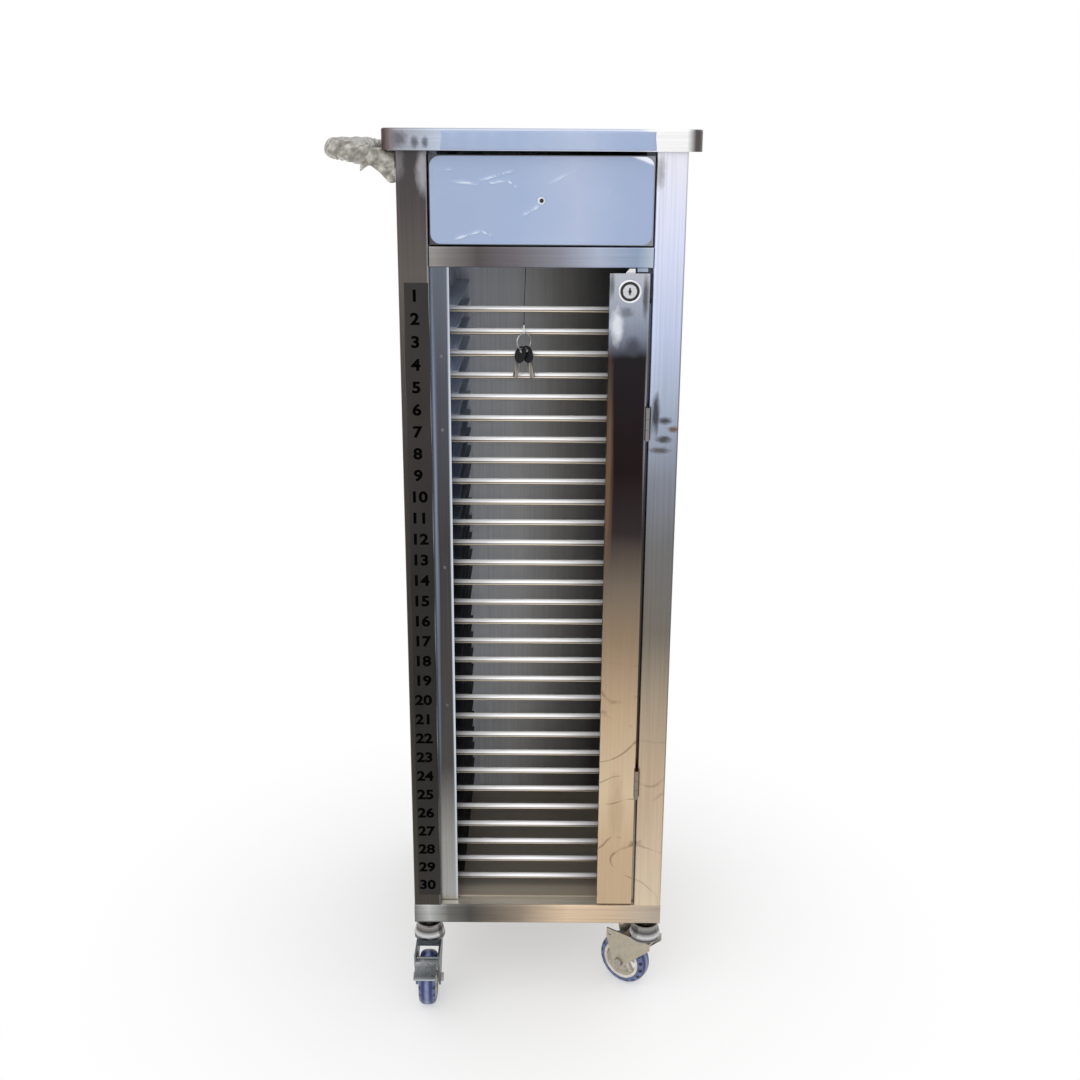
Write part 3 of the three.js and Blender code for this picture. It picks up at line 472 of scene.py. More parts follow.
# %% Dress the panels, the stiles and the drawer
# Painted light and shade on the sheet behind the rods: a pale reflection at the left, painted shade nearly
# black at the right, and plainer steel on its back face.
bay_back_light_and_shade = steel(
    "bay_back_light_and_shade", "X", MOUTH,
    [(0, (236, 241, 252)), (0.35, (214, 214, 216)), (0.6, (150, 147, 144)), (0.85, (64, 62, 60)),
     (1, (34, 33, 32))],
    GRAIN_UP, 0.4, metal=0.15, turned=[("Y", 1, (176, 177, 180))],
)
dress(bay_back_light_and_shade, "back_panel", "divider_panel")
bay_floor = steel(
    "bay_floor", "X", MOUTH, [(0, (166, 158, 146)), (1, (168, 157, 140))], GRAIN_ACROSS, 0.4, metal=0.15
)
dress(bay_floor, "floor_panel")
# Painted light and shade on the left side panels: dark low down, blue-white higher up.
left_side_painted_light = steel(
    "left_side_painted_light", "Z", UPRIGHT,
    [(0, (36, 36, 38)), (0.45, (48, 52, 60)), (0.6, (124, 140, 168)), (0.72, (216, 228, 248)),
     (1, (222, 230, 244))],
    GRAIN_DEEP, 0.34, metal=0.1, turned=[("X", -1, (150, 152, 157))],
)
dress(left_side_painted_light, "left_lower_panel", "left_upper_panel")
# Painted shade on the right side panels, darkest at mid height.
right_side_painted_shade = steel(
    "right_side_painted_shade", "Z", UPRIGHT, [(0, (150, 140, 130)), (0.5, (110, 106, 104)), (1, (130, 134, 144))],
    GRAIN_DEEP, 0.34, metal=0.5, turned=[("X", 1, (160, 158, 158))],
)
dress(right_side_painted_shade, "right_lower_panel", "right_upper_panel")
stile_low, stile_high = both("left_stile")
# Painted reflection up the stiles, with a painted highlight along one edge and a painted blue reflection
# along the other.
stile_reflection = steel(
    "stile_reflection", "Z", UPRIGHT,
    [(0, (170, 170, 168)), (0.1, (152, 150, 146)), (0.2, (78, 76, 74)), (0.5, (70, 68, 68)),
     (0.7, (84, 87, 95)), (0.85, (108, 114, 126)), (1, (96, 107, 128))],
    GRAIN_UP, 0.22, 0.03,
    painted_patches=on_face(stile_low[1], [
        (stile_high[0] - 0.001, 0.6, 0.0024, 0.9, (216, 222, 234), 0.9),
        (stile_low[0], 0.75, 0.0050, 0.5, (150, 164, 190), 0.7),
    ]),
)
dress(stile_reflection, "left_stile", "right_stile")
# Painted reflection on the drawer: darker at the left, paler at the right.
drawer_reflection = steel(
    "drawer_reflection", "X", MOUTH, [(0, (84, 84, 90)), (0.5, (120, 122, 130)), (1, (150, 152, 160))],
    GRAIN_ACROSS, 0.3,
)
dress(drawer_reflection, "drawer_front", "drawer_tray")
print("panels, stiles and drawer dressed")

# %% [markdown]
# ## Polished fittings
# The locking bar is the brightest mirror, painted as a reflection: blue-grey at its head, nearly black at
# mid height and beige near the floor. The lock, bolt and hinges are polished too. The handle's bare tube is
# painted brown-grey as a reflection, and casters are zinc plated, with a satin fork; painted bands of
# highlight and shade run up the swivels and pedals, and the forks are painted as a reflection that changes
# from the left of the rack to the right.

# %% Dress the bar, the lock and the hinges
bar_low, bar_high = both("lock_bar")
BAR = (bar_low[2], bar_high[2])
# Painted reflection up the locking bar, with painted highlights and dark patches near its head and a painted
# highlight along its edge.
bar_painted_reflection = steel(
    "bar_painted_reflection", "Z", BAR,
    [(0, (198, 173, 142)), (0.1, (198, 172, 140)), (0.2, (212, 190, 160)), (0.33, (192, 167, 137)),
     (0.45, (150, 129, 106)), (0.54, (120, 108, 95)), (0.62, (54, 47, 48)), (0.72, (36, 27, 28)),
     (0.884, (40, 37, 40)), (0.912, (126, 132, 148)), (0.94, (150, 158, 174)), (1, (186, 190, 200))],
    GRAIN_UP, 0.12, 0.025, 0.12, lines=(0.55, (96, 76, 60), 0.6),
    painted_patches=on_face(bar_low[1], [
        (bar_low[0] + 0.010, 0.955, 0.010, 0.026, (232, 236, 244), 0.8),
        (bar_low[0] + 0.030, 0.930, 0.012, 0.016, (74, 76, 86), 0.8),
        (bar_low[0] + 0.003, 0.770, 0.007, 0.180, (116, 92, 74), 0.8),
        (bar_low[0] + 0.024, 0.300, 0.014, 0.060, (176, 150, 122), 0.5),
        (bar_high[0] - 0.0008, 0.84, 0.0022, 0.16, (156, 156, 160), 0.7),
        (bar_low[0] + 0.0030, 1.005, 0.0042, 0.022, (74, 76, 82), 0.7),
        (bar_low[0] + 0.0200, 0.972, 0.0120, 0.008, (92, 96, 106), 0.6),
        (bar_high[0] - 0.0050, 0.99, 0.0050, 0.030, (62, 64, 72), 0.8),
    ]),
)
dress(bar_painted_reflection, "lock_bar")
lock_bright = steel(
    "lock_bright", "Z", BAR, [(0, (200, 200, 204)), (1, (232, 232, 236))], (90, 90, 90), 0.14, 0.05, 0.1
)
dress(lock_bright, "lock_case", "lock_bolt")
plug_bright = steel(
    "plug_bright", "Z", BAR, [(0, (180, 181, 184)), (1, (214, 216, 222))], (60, 400, 400), 0.2, 0.05, 0.2
)
dress(plug_bright, "lock_plug")
hinge_bright = steel("hinge_bright", "Z", BAR, [(0, (140, 130, 118)), (1, (136, 134, 136))], GRAIN_UP, 0.22)
dress(hinge_bright, "upper_hinge_post_leaf", "upper_hinge_bar_leaf")
dress(hinge_bright, "lower_hinge_post_leaf", "lower_hinge_bar_leaf")
print("bar, lock and hinges dressed, bar from", BAR[0], "to", BAR[1])

# %% Dress the handle and the casters
CASTERS = ("front_left", "front_right", "rear_left", "rear_right")
PEDAL_Z = (0.070, 0.088)
grip_low, grip_high = both("push_handle")
mount_low, mount_high = both("front_left_caster_mount")
fork_low, fork_high = both("front_left_caster_fork")
# Painted reflection along the bare tube: pale at the far end, brown near the post.
handle_tube_reflection = steel(
    "handle_tube_reflection", "X", (grip_low[0], grip_high[0]), [(0, (160, 152, 142)), (1, (112, 98, 84))],
    (400, 6, 400), 0.26,
)
# Painted bands of highlight and shade up the swivel.
mount_finish = steel(
    "swivel_painted_bands", "Z", (mount_low[2], mount_high[2]),
    [(0, (70, 68, 66)), (0.08, (190, 190, 192)), (0.16, (62, 60, 60)), (0.24, (206, 206, 208)),
     (0.34, (84, 82, 80)), (0.45, (150, 148, 146)), (0.6, (40, 40, 40)), (1, (36, 36, 36))],
    (30, 30, 200), 0.16, 0.03, 0.15,
)
# Painted reflection on the forks, grey at the left of the rack and beige at the right.
fork_finish = steel(
    "fork_painted_reflection", "X", (fork_low[0], -fork_low[0]),
    [(0, (116, 124, 130)), (0.25, (128, 132, 134)), (0.75, (186, 175, 156)), (1, (194, 185, 168))],
    (160, 160, 160), 0.36,
)
axle_finish = steel(
    "bolt_zinc", "Z", (0, fork_high[2]), [(0, (150, 146, 140)), (1, (206, 202, 196))], (200, 200, 200), 0.3
)
# Painted bands of highlight and shade up the pedal.
pedal_finish = steel(
    "pedal_painted_bands", "Z", PEDAL_Z,
    [(0, (66, 68, 70)), (0.22, (196, 202, 206)), (0.42, (112, 117, 121)), (0.7, (150, 154, 157)),
     (1, (236, 238, 240))],
    (260, 260, 260), 0.24, 0.05,
)
dress(handle_tube_reflection, "push_handle")
for corner in CASTERS:
    dress(mount_finish, corner + "_caster_mount")
    dress(fork_finish, corner + "_caster_fork")
    dress(axle_finish, corner + "_caster_axle")
dress(pedal_finish, "front_left_brake_pedal", "rear_left_brake_pedal")
print("handle and", len(CASTERS), "casters dressed")

# %% [markdown]
# ## Helpers for shapes
# A new piece is a grid of points: rows run along it and columns across. One function lists the four-sided
# faces between neighbouring points and can close the grid either way, and another puts the arrays into a
# mesh. Points that meet at a pole are merged, and then a closed shell's faces are all turned outwards.

# %% Faces of a grid
OPEN = (False, False)
TUBE = (False, True)
TURNED = (True, False)
RING = (True, True)


def grid_faces(rows, columns, close_rows, close_columns):
    """Faces of a grid: each point with its next neighbours, where closed the last meeting the first."""
    r = np.arange(rows if close_rows else rows - 1)[:, None]
    c = np.arange(columns if close_columns else columns - 1)[None, :]
    r2, c2 = (r + 1) % rows, (c + 1) % columns
    corners = [r * columns + c, r2 * columns + c, r2 * columns + c2, r * columns + c2]
    return np.stack([np.broadcast_to(x, (r.size, c.size)).ravel() for x in corners], axis=1)


print("a grid can be open, a tube, turned or a ring")

# %% Mesh and piece
MERGE = 1e-7
SLIVER = 1e-8


def make_mesh(name, points, closing, wrap=None):
    """One grid of points, or several of one size, as a smooth mesh. wrap holds a UV pair for each point."""
    rows, columns = points.shape[-3:-1]
    grids = points.reshape(-1, rows * columns, 3)
    first = (np.arange(len(grids)) * rows * columns)[:, None, None]
    faces = (grid_faces(rows, columns, *closing)[None] + first).reshape(-1, 4)
    mesh = bpy.data.meshes.new(name)
    mesh.from_pydata(points.reshape(-1, 3).tolist(), [], faces.tolist())
    if wrap is not None:
        ids = np.zeros(len(mesh.loops), np.int32)
        mesh.loops.foreach_get("vertex_index", ids)
        layer = mesh.uv_layers.new(name="wrap")
        layer.data.foreach_set("uv", wrap.reshape(-1, 2)[ids].ravel())
    shell = bmesh.new()
    shell.from_mesh(mesh)
    bmesh.ops.remove_doubles(shell, verts=shell.verts, dist=MERGE)
    bmesh.ops.dissolve_degenerate(shell, edges=shell.edges, dist=SLIVER)
    if closing != OPEN:
        bmesh.ops.recalc_face_normals(shell, faces=shell.faces)
    shell.to_mesh(mesh)
    shell.free()
    mesh.shade_smooth()
    return mesh


def make_piece(name, points, closing, material, body, wrap=None):
    """A mesh of points with a finish, as an object that rides on a body."""
    mesh = make_mesh(name, points, closing, wrap)
    mesh.materials.append(material)
    made = add_object(name, mesh)
    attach(made, body)
    print(name, "has", len(mesh.polygons), "faces")
    return made


print("mesh and piece helpers ready")

# %% Swept and turned shapes
UPWARDS = (0.0, 0.0, 1.0)
INWARDS = (0.0, 1.0, 0.0)
STEEP = 0.9


def full_turn(count):
    """Angles of a full turn, the last one step short of the first."""
    return np.linspace(0, 2 * np.pi, count, endpoint=False)


def sweep(path, radii, up, sides):
    """Rings about a path: point + radius * (cos a * side + sin a * rise), side square to path and up."""
    ahead = np.gradient(path, axis=0)
    ahead /= np.linalg.norm(ahead, axis=1)[:, None]
    side = np.cross(ahead, np.broadcast_to(up, path.shape))
    side /= np.linalg.norm(side, axis=1)[:, None]
    rise = np.cross(side, ahead)
    a = full_turn(sides)[None, :, None]
    radii = np.broadcast_to(np.asarray(radii, float), (len(path), sides))[:, :, None]
    return path[:, None, :] + radii * (np.cos(a) * side[:, None, :] + np.sin(a) * rise[:, None, :])


def spin_profile(profile, centre, axis, steps):
    """A profile of (radius, along) turned about an axis: centre + along * axis + radius * a unit circle."""
    axis = np.asarray(axis, float) / np.linalg.norm(axis)
    first = np.cross(axis, UPWARDS if abs(axis[2]) < STEEP else INWARDS)
    first /= np.linalg.norm(first)
    second = np.cross(axis, first)
    a = full_turn(steps)[:, None, None]
    radius, out = profile[None, :, 0, None], profile[None, :, 1, None]
    return np.asarray(centre, float) + out * axis + radius * (np.cos(a) * first + np.sin(a) * second)


def ring_profile(inner, outer, depth, lift, count):
    """An ellipse in section between two radii: a rounded ring."""
    a = full_turn(count)
    middle, half = (outer + inner) / 2, (outer - inner) / 2
    return np.stack([middle + half * np.cos(a), lift + depth * np.sin(a)], axis=-1)


def path_lengths(path):
    """How far along a path each point is: the sum of the steps before it."""
    return np.concatenate([[0], np.cumsum(np.linalg.norm(np.diff(path, axis=0), axis=1))])


print("swept and turned shapes ready")

# %% [markdown]
# ## The key string
# A thin dark string is tied above, passes behind the top rod and comes forward under it to the link that
# holds the keys. The photograph shows it from end to end, so that is its length. A tube swept along a
# smooth curve through five points is the plain way to make it. A small knot closes its lower end.

# %% Route and twist of the string
STRING_ROUTE = np.array([
    (0.01881, -0.1410, 1.04800),
    (0.01751, -0.1410, 1.00865),
    (0.01621, -0.1442, 0.97330),
    (0.01621, -0.1448, 0.96530),
    (0.01621, -0.1614, 0.95320),
])
STRING_D = 0.0012
STRING_POINTS = 40
STRING_SIDES = 10
SIDEWAYS = (1.0, 0.0, 0.0)


def smooth_path(knots, count):
    """Cubic through the knots: Hermite pieces, slopes from neighbours, spaced by the root of chord length."""
    t = np.concatenate([[0], np.cumsum(np.sqrt(np.linalg.norm(np.diff(knots, axis=0), axis=1)))])
    slopes = np.gradient(knots, t, axis=0)
    s = np.linspace(0, t[-1], count)
    k = np.clip(np.searchsorted(t, s, side="right") - 1, 0, len(t) - 2)
    h = (t[k + 1] - t[k])[:, None]
    u = (s[:, None] - t[k][:, None]) / h
    start = (2 * u**3 - 3 * u**2 + 1) * knots[k] + (u**3 - 2 * u**2 + u) * h * slopes[k]
    return start + (3 * u**2 - 2 * u**3) * knots[k + 1] + (u**3 - u**2) * h * slopes[k + 1]


string_finish, tree, shader = new_finish("string_cotton", 0.0, 0.85)
twist = add_node(tree, "TexWave", Scale=900.0, Distortion=1.5, Detail=2.0)
twist.bands_direction = "DIAGONAL"
tree.links.new(place(tree), twist.inputs["Vector"])
string_tint = ramp(tree, twist.outputs["Fac"], [(0, (34, 31, 30)), (1, (84, 76, 70))])
tree.links.new(string_tint, shader.inputs["Base Color"])
string_path = smooth_path(STRING_ROUTE, STRING_POINTS)
string_rings = sweep(string_path, STRING_D / 2, SIDEWAYS, STRING_SIDES)
string_ends = [np.broadcast_to(string_path[end], (1, STRING_SIDES, 3)) for end in (0, -1)]
string_capped = np.concatenate([string_ends[0], string_rings, string_ends[1]])
string = make_piece("key_string_twist", string_capped, TUBE, string_finish, "root")
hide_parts("key_string")

# %% Knot on the string's lower end
KNOT_R = 0.0011
KNOT_LOBES = 0.18
KNOT_GRID = (17, 24)


def knot_points(centre, size, rows, columns):
    """A ball whose radius swells in three lobes round a tilted axis, like a tight overhand knot."""
    v = np.linspace(0, np.pi, rows)[:, None]
    u = full_turn(columns)[None, :]
    r = size * (1 + KNOT_LOBES * np.cos(3 * u + 2 * v) * np.sin(v))
    ball = [r * np.sin(v) * np.cos(u), r * np.sin(v) * np.sin(u), r * np.cos(v) + 0 * u]
    return centre + np.stack(ball, axis=-1)


knot_spots = knot_points(string_path[-1], KNOT_R, *KNOT_GRID)
knot = make_piece("key_string_knot", knot_spots, TUBE, string_finish, "root")

# %% [markdown]
# ## Link, ring and keys
# Two keys with black moulded heads hang from a wire ring. Head and blade are one solid here, so the
# finish tells them apart by the distance from the ring's lowest point: black within a head's length of
# it, steel beyond.

# %% Dress the keys
WIRE = 0.001
HEAD_REACH = 0.0175
HEAD_EDGE = 0.0002
LINK_TOP = 0.9526
ring_low, ring_high = both("key_ring")
HANG_POINT = ((ring_low[0] + ring_high[0]) / 2, (ring_low[1] + ring_high[1]) / 2, ring_low[2] + WIRE)
key_finish, tree, shader = new_finish("key_black_and_steel", 0.0, 0.4)
shader.inputs["Specular IOR Level"].default_value = 0.2
from_ring = length(tree, place(tree, at=HANG_POINT))
blade = clamp(tree, remap(tree, from_ring, HEAD_REACH - HEAD_EDGE, HEAD_REACH + HEAD_EDGE))
head_tint = ramp(tree, noise(tree, (300, 300, 300)), [(0.3, (8, 8, 10)), (0.7, (24, 24, 28))])
blade_tint = ramp(tree, noise(tree, (500, 500, 60)), [(0.35, (44, 41, 39)), (0.62, (150, 146, 140))])
tree.links.new(blend_tint(tree, "MIX", blade, head_tint, blade_tint), shader.inputs["Base Color"])
tree.links.new(blade, shader.inputs["Metallic"])
dress(key_finish, "left_key", "right_key")
wire_finish = steel(
    "ring_wire", "Z", (ring_low[2], LINK_TOP), [(0, (150, 148, 146)), (1, (226, 228, 232))],
    (300, 300, 300), 0.22,
)
dress(wire_finish, "key_ring", "key_link")
print("keys hang from", [round(float(c), 4) for c in HANG_POINT])

# %% [markdown]
# ## Shelf rods
# Thirty polished rods cross the bay. In the solids they have few sides, so each gets a thin round skin a
# twentieth of a millimetre proud. A polished rod mirrors the bright room with its upper half and the warm
# floor low down, so its tint is a painted reflection that follows how far up the surface faces, and painted
# shade darkens it near its ends.

# %% Round skins on the rods
RODS = 30
ROD_CLEAR = 0.001
ROD_SIDES = 24
SKIN_PROUD = 0.00005
ROD_ROUGH = (0.2, 0.36)
upper_low, upper_high = both("upper_shelf_rods")
lower_low = both("lower_shelf_rods")[0]
ROD_R = float(upper_high[1] - upper_low[1]) / 2
SKIN_R = ROD_R + SKIN_PROUD
rod_y = float(upper_high[1] + upper_low[1]) / 2
top_rod = float(upper_high[2]) - ROD_R - ROD_CLEAR
low_rod = float(lower_low[2]) + ROD_R + ROD_CLEAR
rod_heights = np.linspace(top_rod, low_rod, RODS)


def rod_skins(x0, x1):
    """For each height, four rings along X: a pole, two full circles and a pole."""
    x = np.array([x0, x0, x1, x1])[None, :, None]
    r = np.array([0, SKIN_R, SKIN_R, 0])[None, :, None]
    a = full_turn(ROD_SIDES)[None, None, :]
    spots = [x + 0 * a, rod_y + r * np.cos(a), rod_heights[:, None, None] + r * np.sin(a)]
    return np.stack(np.broadcast_arrays(*spots), axis=-1)


rod_finish, tree, shader = new_finish("rod_painted_reflection", 0.15, 0.2)
rod_normal = add_node(tree, "NewGeometry").outputs["Normal"]
# Painted reflection by the normal: pale where the surface faces up, warm and dark low down.
rod_reflection_tint = ramp(
    tree, remap(tree, split(tree, rod_normal)["Z"], -1, 1),
    [(0, (60, 56, 52)), (0.15, (120, 110, 98)), (0.24, (232, 218, 194)), (0.34, (226, 212, 190)),
     (0.40, (112, 106, 100)), (0.50, (120, 116, 112)), (0.55, (252, 252, 252)), (1, (255, 255, 255))],
)
# Painted shade near the rods' ends.
rod_end_shade = ramp(
    tree, along(tree, "X", *MOUTH),
    [(0, (190, 190, 194)), (0.1, (255, 255, 255)), (0.8, (255, 255, 255)), (0.92, (190, 186, 182)),
     (1, (130, 126, 122))],
)
tree.links.new(blend_tint(tree, "MULTIPLY", 1.0, rod_reflection_tint, rod_end_shade), shader.inputs["Base Color"])
tree.links.new(remap(tree, noise(tree, (3, 500, 500)), 0, 1, *ROD_ROUGH), shader.inputs["Roughness"])
dress(rod_finish, "upper_shelf_rods", "lower_shelf_rods")
all_skins = rod_skins(float(upper_low[0]), float(upper_high[0]))
make_piece("rod_skins", all_skins, TUBE, rod_finish, "root")
print("rods from", round(top_rod, 4), "down to", round(low_rod, 4))

# %% [markdown]
# ## Number strip
# A dark strip on the left post carries plain numbers 1 to 30, one above each rod. The strip is a thin
# sheet with slightly waved edges. Each number is text, turned into a mesh and gathered into one piece.

# %% Strip of dark film on the left post
STRIP_X = (-0.1287, -0.0985)
STRIP_Z = (0.162, 1.006)
STRIP_PROUD = 0.0004
STRIP_WAVE = 0.0004
STRIP_WAVES = 37
STRIP_RIM = 0.1
STRIP_GRID = (120, 12)
post_face = float(post_low[1])


def between(span, share):
    """A point of a span: its start plus a share of its length."""
    return span[0] + (span[1] - span[0]) * share


def strip_points(rows, columns):
    """A flat sheet: x across, z up, with its edges waved a little and its rim turned back to the post."""
    v = np.linspace(0, 1, rows)[:, None]
    u = np.linspace(0, 1, columns)[None, :]
    x = between(STRIP_X, u) + STRIP_WAVE * np.sin(STRIP_WAVES * v) * (2 * u - 1)
    z = between(STRIP_Z, v) + 0 * u
    rim = np.minimum(np.minimum(u, 1 - u) * columns, np.minimum(v, 1 - v) * rows)
    y = post_face - STRIP_PROUD * np.clip(rim, STRIP_RIM, 1)
    return np.stack([x, y, z], axis=-1)


strip_finish = steel(
    "strip_film", "Z", STRIP_Z,
    [(0, (62, 60, 57)), (0.25, (51, 50, 48)), (0.5, (51, 50, 48)), (0.75, (64, 61, 59)), (1, (63, 61, 60))],
    (30, 30, 12), 0.42, 0.1, 0.2,
)
make_piece("number_strip", strip_points(*STRIP_GRID)[:, ::-1], OPEN, strip_finish, "root")

# %% Numbers 1 to 30
DIGIT_SIZE = 0.0195
DIGIT_BOLD = 0.0007
DIGIT_WIDE = 1.15
DIGIT_X = -0.116
DIGIT_UP = (0.0205, 0.0115)
DIGIT_PROUD = 0.00012
DIGIT_SMOOTH = 4


def number_mesh(text):
    """One number as arrays: its outline filled flat, x across and y up, centred."""
    curve = bpy.data.curves.new("number", "FONT")
    curve.body = text
    curve.size = DIGIT_SIZE
    curve.offset = DIGIT_BOLD
    curve.align_x = "CENTER"
    curve.align_y = "CENTER"
    curve.resolution_u = DIGIT_SMOOTH
    holder = add_object("number", curve)
    bpy.context.view_layer.update()
    flat = holder.evaluated_get(bpy.context.evaluated_depsgraph_get()).to_mesh()
    spots = np.zeros(len(flat.vertices) * 3)
    flat.vertices.foreach_get("co", spots)
    faces = [list(face.vertices) for face in flat.polygons]
    bpy.data.objects.remove(holder)
    bpy.data.curves.remove(curve)
    return spots.reshape(-1, 3), faces


number_spots = []
number_faces = []
count = 0
for index, height in enumerate(np.linspace(top_rod + DIGIT_UP[0], low_rod + DIGIT_UP[1], RODS)):
    flat, faces = number_mesh(str(index + 1))
    y = np.full(len(flat), post_face - STRIP_PROUD - DIGIT_PROUD)
    number_spots.append(np.stack([DIGIT_WIDE * flat[:, 0] + DIGIT_X, y, flat[:, 1] + height], axis=-1))
    number_faces += [[vertex + count for vertex in face] for face in faces]
    count += len(flat)
ink_finish, tree, shader = new_finish("number_ink", 0.0, 0.8)
shader.inputs["Specular IOR Level"].default_value = 0.0
mottle(tree, shader, 260, [(0.3, (2, 2, 2)), (0.75, (9, 9, 9))])
numbers = bpy.data.meshes.new("slot_numbers")
numbers.from_pydata(np.concatenate(number_spots).tolist(), [], number_faces)
numbers.materials.append(ink_finish)
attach(add_object("slot_numbers", numbers), "root")
print("numbers:", len(numbers.polygons), "faces")

# %% [markdown]
# ## Protective film on the drawer and the plate
# New steel comes with a lilac film on it, and here it is still on. It has rounded corners, is creased
# where it was rubbed down, and has lifted at one corner. A sheet on a grid with ridges along the creases
# shows that, and a Solidify modifier gives it a thickness. The UV map holds how high the sheet rises, so
# that folds and the lifted corner get a painted highlight; a paler band across the film is a painted sheen.

# %% Shape of the creased film
FILM_INSET = 0.0010
FILM_CORNER = 0.012
FILM_GAP = 0.00025
FILM_RIPPLE = 0.00012
FILM_GRID = (90, 220)
CREASE_W = 0.0012
CREASE_SWAY = (0.0010, 0.0014)
CREASES = [
    ((-0.074, 0.024), (-0.034, 0.032), 0.0011),
    ((-0.105, 0.019), (-0.040, 0.021), 0.0012),
    ((-0.040, 0.021), (-0.028, 0.014), 0.0011),
    ((0.004, 0.016), (0.043, 0.035), 0.0008),
    ((-0.002, -0.004), (-0.023, -0.017), 0.0012),
    ((-0.103, -0.047), (-0.071, -0.034), 0.0012),
    ((-0.071, -0.034), (-0.058, -0.040), 0.0010),
    ((-0.122, 0.033), (-0.100, 0.034), 0.0006),
    ((0.076, 0.002), (0.086, 0.014), 0.0004),
]
PEEL_FROM = 1.72
PEEL_SPAN = 0.2
PEEL_RISE = 0.004


def ridge(x, z, start, end, height):
    """Height of a fold: a bell curve of the distance to a segment that waves a little, fading at its ends."""
    start, end = np.array(start), np.array(end)
    way = end - start
    x, z = x + CREASE_SWAY[0] * np.sin(130 * z), z + CREASE_SWAY[1] * np.sin(95 * x + 2)
    t = ((x - start[0]) * way[0] + (z - start[1]) * way[1]) / (way @ way)
    nearest = np.clip(t, 0, 1)
    off = np.hypot(x - start[0] - nearest * way[0], z - start[1] - nearest * way[1])
    fade = np.sin(np.pi * np.clip(t, 0.02, 0.98)) ** 0.4
    width = CREASE_W * (0.7 + 0.5 * np.sin(9 * t + height * 5000))
    return height * fade * np.exp(-((off / width) ** 2))


def film_points(half, corner, rows, columns):
    """A rounded rectangle: each row's half width shrinks near the top and bottom by the corner's arc."""
    z = half[1] * np.sin(np.linspace(-1, 1, rows) * np.pi / 2)[:, None]
    past = np.clip(np.abs(z) - (half[1] - corner), 0, corner)
    reach = half[0] - corner + np.sqrt(np.maximum(corner**2 - past**2, 0))
    x = np.linspace(-1, 1, columns)[None, :] * reach
    return x, z + 0 * x


def film_folds(x, z, half):
    """How far the film stands off its ripples: all its creases, and one corner that peels up as a square."""
    creased = sum(ridge(x, z, *crease) for crease in CREASES)
    peeled = np.clip((x / half[0] + z / half[1] - PEEL_FROM) / PEEL_SPAN, 0, 1)
    return creased + PEEL_RISE * peeled**2


front_low, front_high = both("drawer_front")
film_half = np.array([front_high[0] - front_low[0], front_high[2] - front_low[2]]) / 2 - FILM_INSET
film_mid = np.array([front_low[0] + front_high[0], front_low[2] + front_high[2]]) / 2
film_x, film_z = film_points(film_half, FILM_CORNER, *FILM_GRID)
film_ripple = FILM_RIPPLE * (1 + np.sin(90 * film_x + 3) * np.sin(140 * film_z + 60 * film_x))
film_rise = film_folds(film_x, film_z, film_half)
film_y = front_low[1] - (FILM_GAP + film_ripple + film_rise)
film_spots = np.stack([film_x + film_mid[0], film_y, film_z + film_mid[1]], axis=-1)
print("film stands up to", round(1000 * float(film_rise.max()), 2), "mm off the drawer")

# %% Finish of the film, and the drawer's piece
FILM_WALL = 0.0002
FILM_DRIFT = 0.1
FOLD_HIGHLIGHT = (238, 243, 252)
FOLD_RISE = (0.35, 1.1)
FOLD_HIGHLIGHT_SHARE = 0.75
film_finish, tree, shader = new_finish("lilac_film", 0.35, 0.24)
film_clouds = remap(tree, noise(tree, (14, 14, 22), 2.0), 0, 1, -FILM_DRIFT, FILM_DRIFT)
# Lilac film with a painted sheen: a paler band right of the middle.
film_tint_and_sheen = ramp(
    tree, sums(tree, "ADD", along(tree, "X", front_low[0], front_high[0]), film_clouds),
    [(0, (152, 167, 196)), (0.4, (154, 172, 203)), (0.66, (170, 182, 209)), (0.85, (154, 172, 203)),
     (1, (152, 168, 199))],
)
# Painted highlight on the folds and the lifted corner, by how high the sheet rises.
fold_highlight = remap(tree, chart(tree)["X"], *FOLD_RISE, 0.0, FOLD_HIGHLIGHT_SHARE)
tree.links.new(blend_tint(tree, "MIX", fold_highlight, film_tint_and_sheen, FOLD_HIGHLIGHT), shader.inputs["Base Color"])
emboss(tree, shader, noise(tree, (60, 60, 90), 4.0), 0.25, 0.001)
shader.inputs["Coat Weight"].default_value = 0.4
shader.inputs["Coat Roughness"].default_value = 0.12


def film_piece(name, spots, rise, body):
    """A thin film facing the front. Its UV map holds how high each point rises, in millimetres."""
    risen = np.stack([1000 * rise, 0 * rise], axis=-1)[:, ::-1]
    made = make_piece(name, spots[:, ::-1], OPEN, film_finish, body, wrap=risen)
    wall = made.modifiers.new("film_wall", "SOLIDIFY")
    wall.thickness = FILM_WALL
    wall.offset = -1


film_piece("drawer_film", film_spots, film_rise, "drawer")

# %% Film on the plate's front edge
EDGE_FILM_X = (-0.080, 0.1695)
EDGE_INSET = (0.001, 0.0032)
EDGE_FILM_Z = (float(plate_low[2]) + EDGE_INSET[0], float(plate_high[2]) - EDGE_INSET[1])
EDGE_GRID = (14, 160)
EDGE_GAP = 0.0002
EDGE_RIPPLE = 0.00025
EDGE_SLANT = 0.0006


def edge_film_points(rows, columns):
    """A long sheet: its ends slant in a wave, and it ripples most along its middle."""
    v = np.linspace(0, 1, rows)[:, None]
    u = np.linspace(0, 1, columns)[None, :]
    x = between(EDGE_FILM_X, u) + EDGE_SLANT * np.sin(5 * v + 1) * (2 * u - 1)
    y = plate_low[1] - EDGE_GAP - EDGE_RIPPLE * (1 + np.sin(70 * u + 4 * v)) * np.sin(np.pi * v)
    return np.stack([x, y, between(EDGE_FILM_Z, v) + 0 * u], axis=-1)


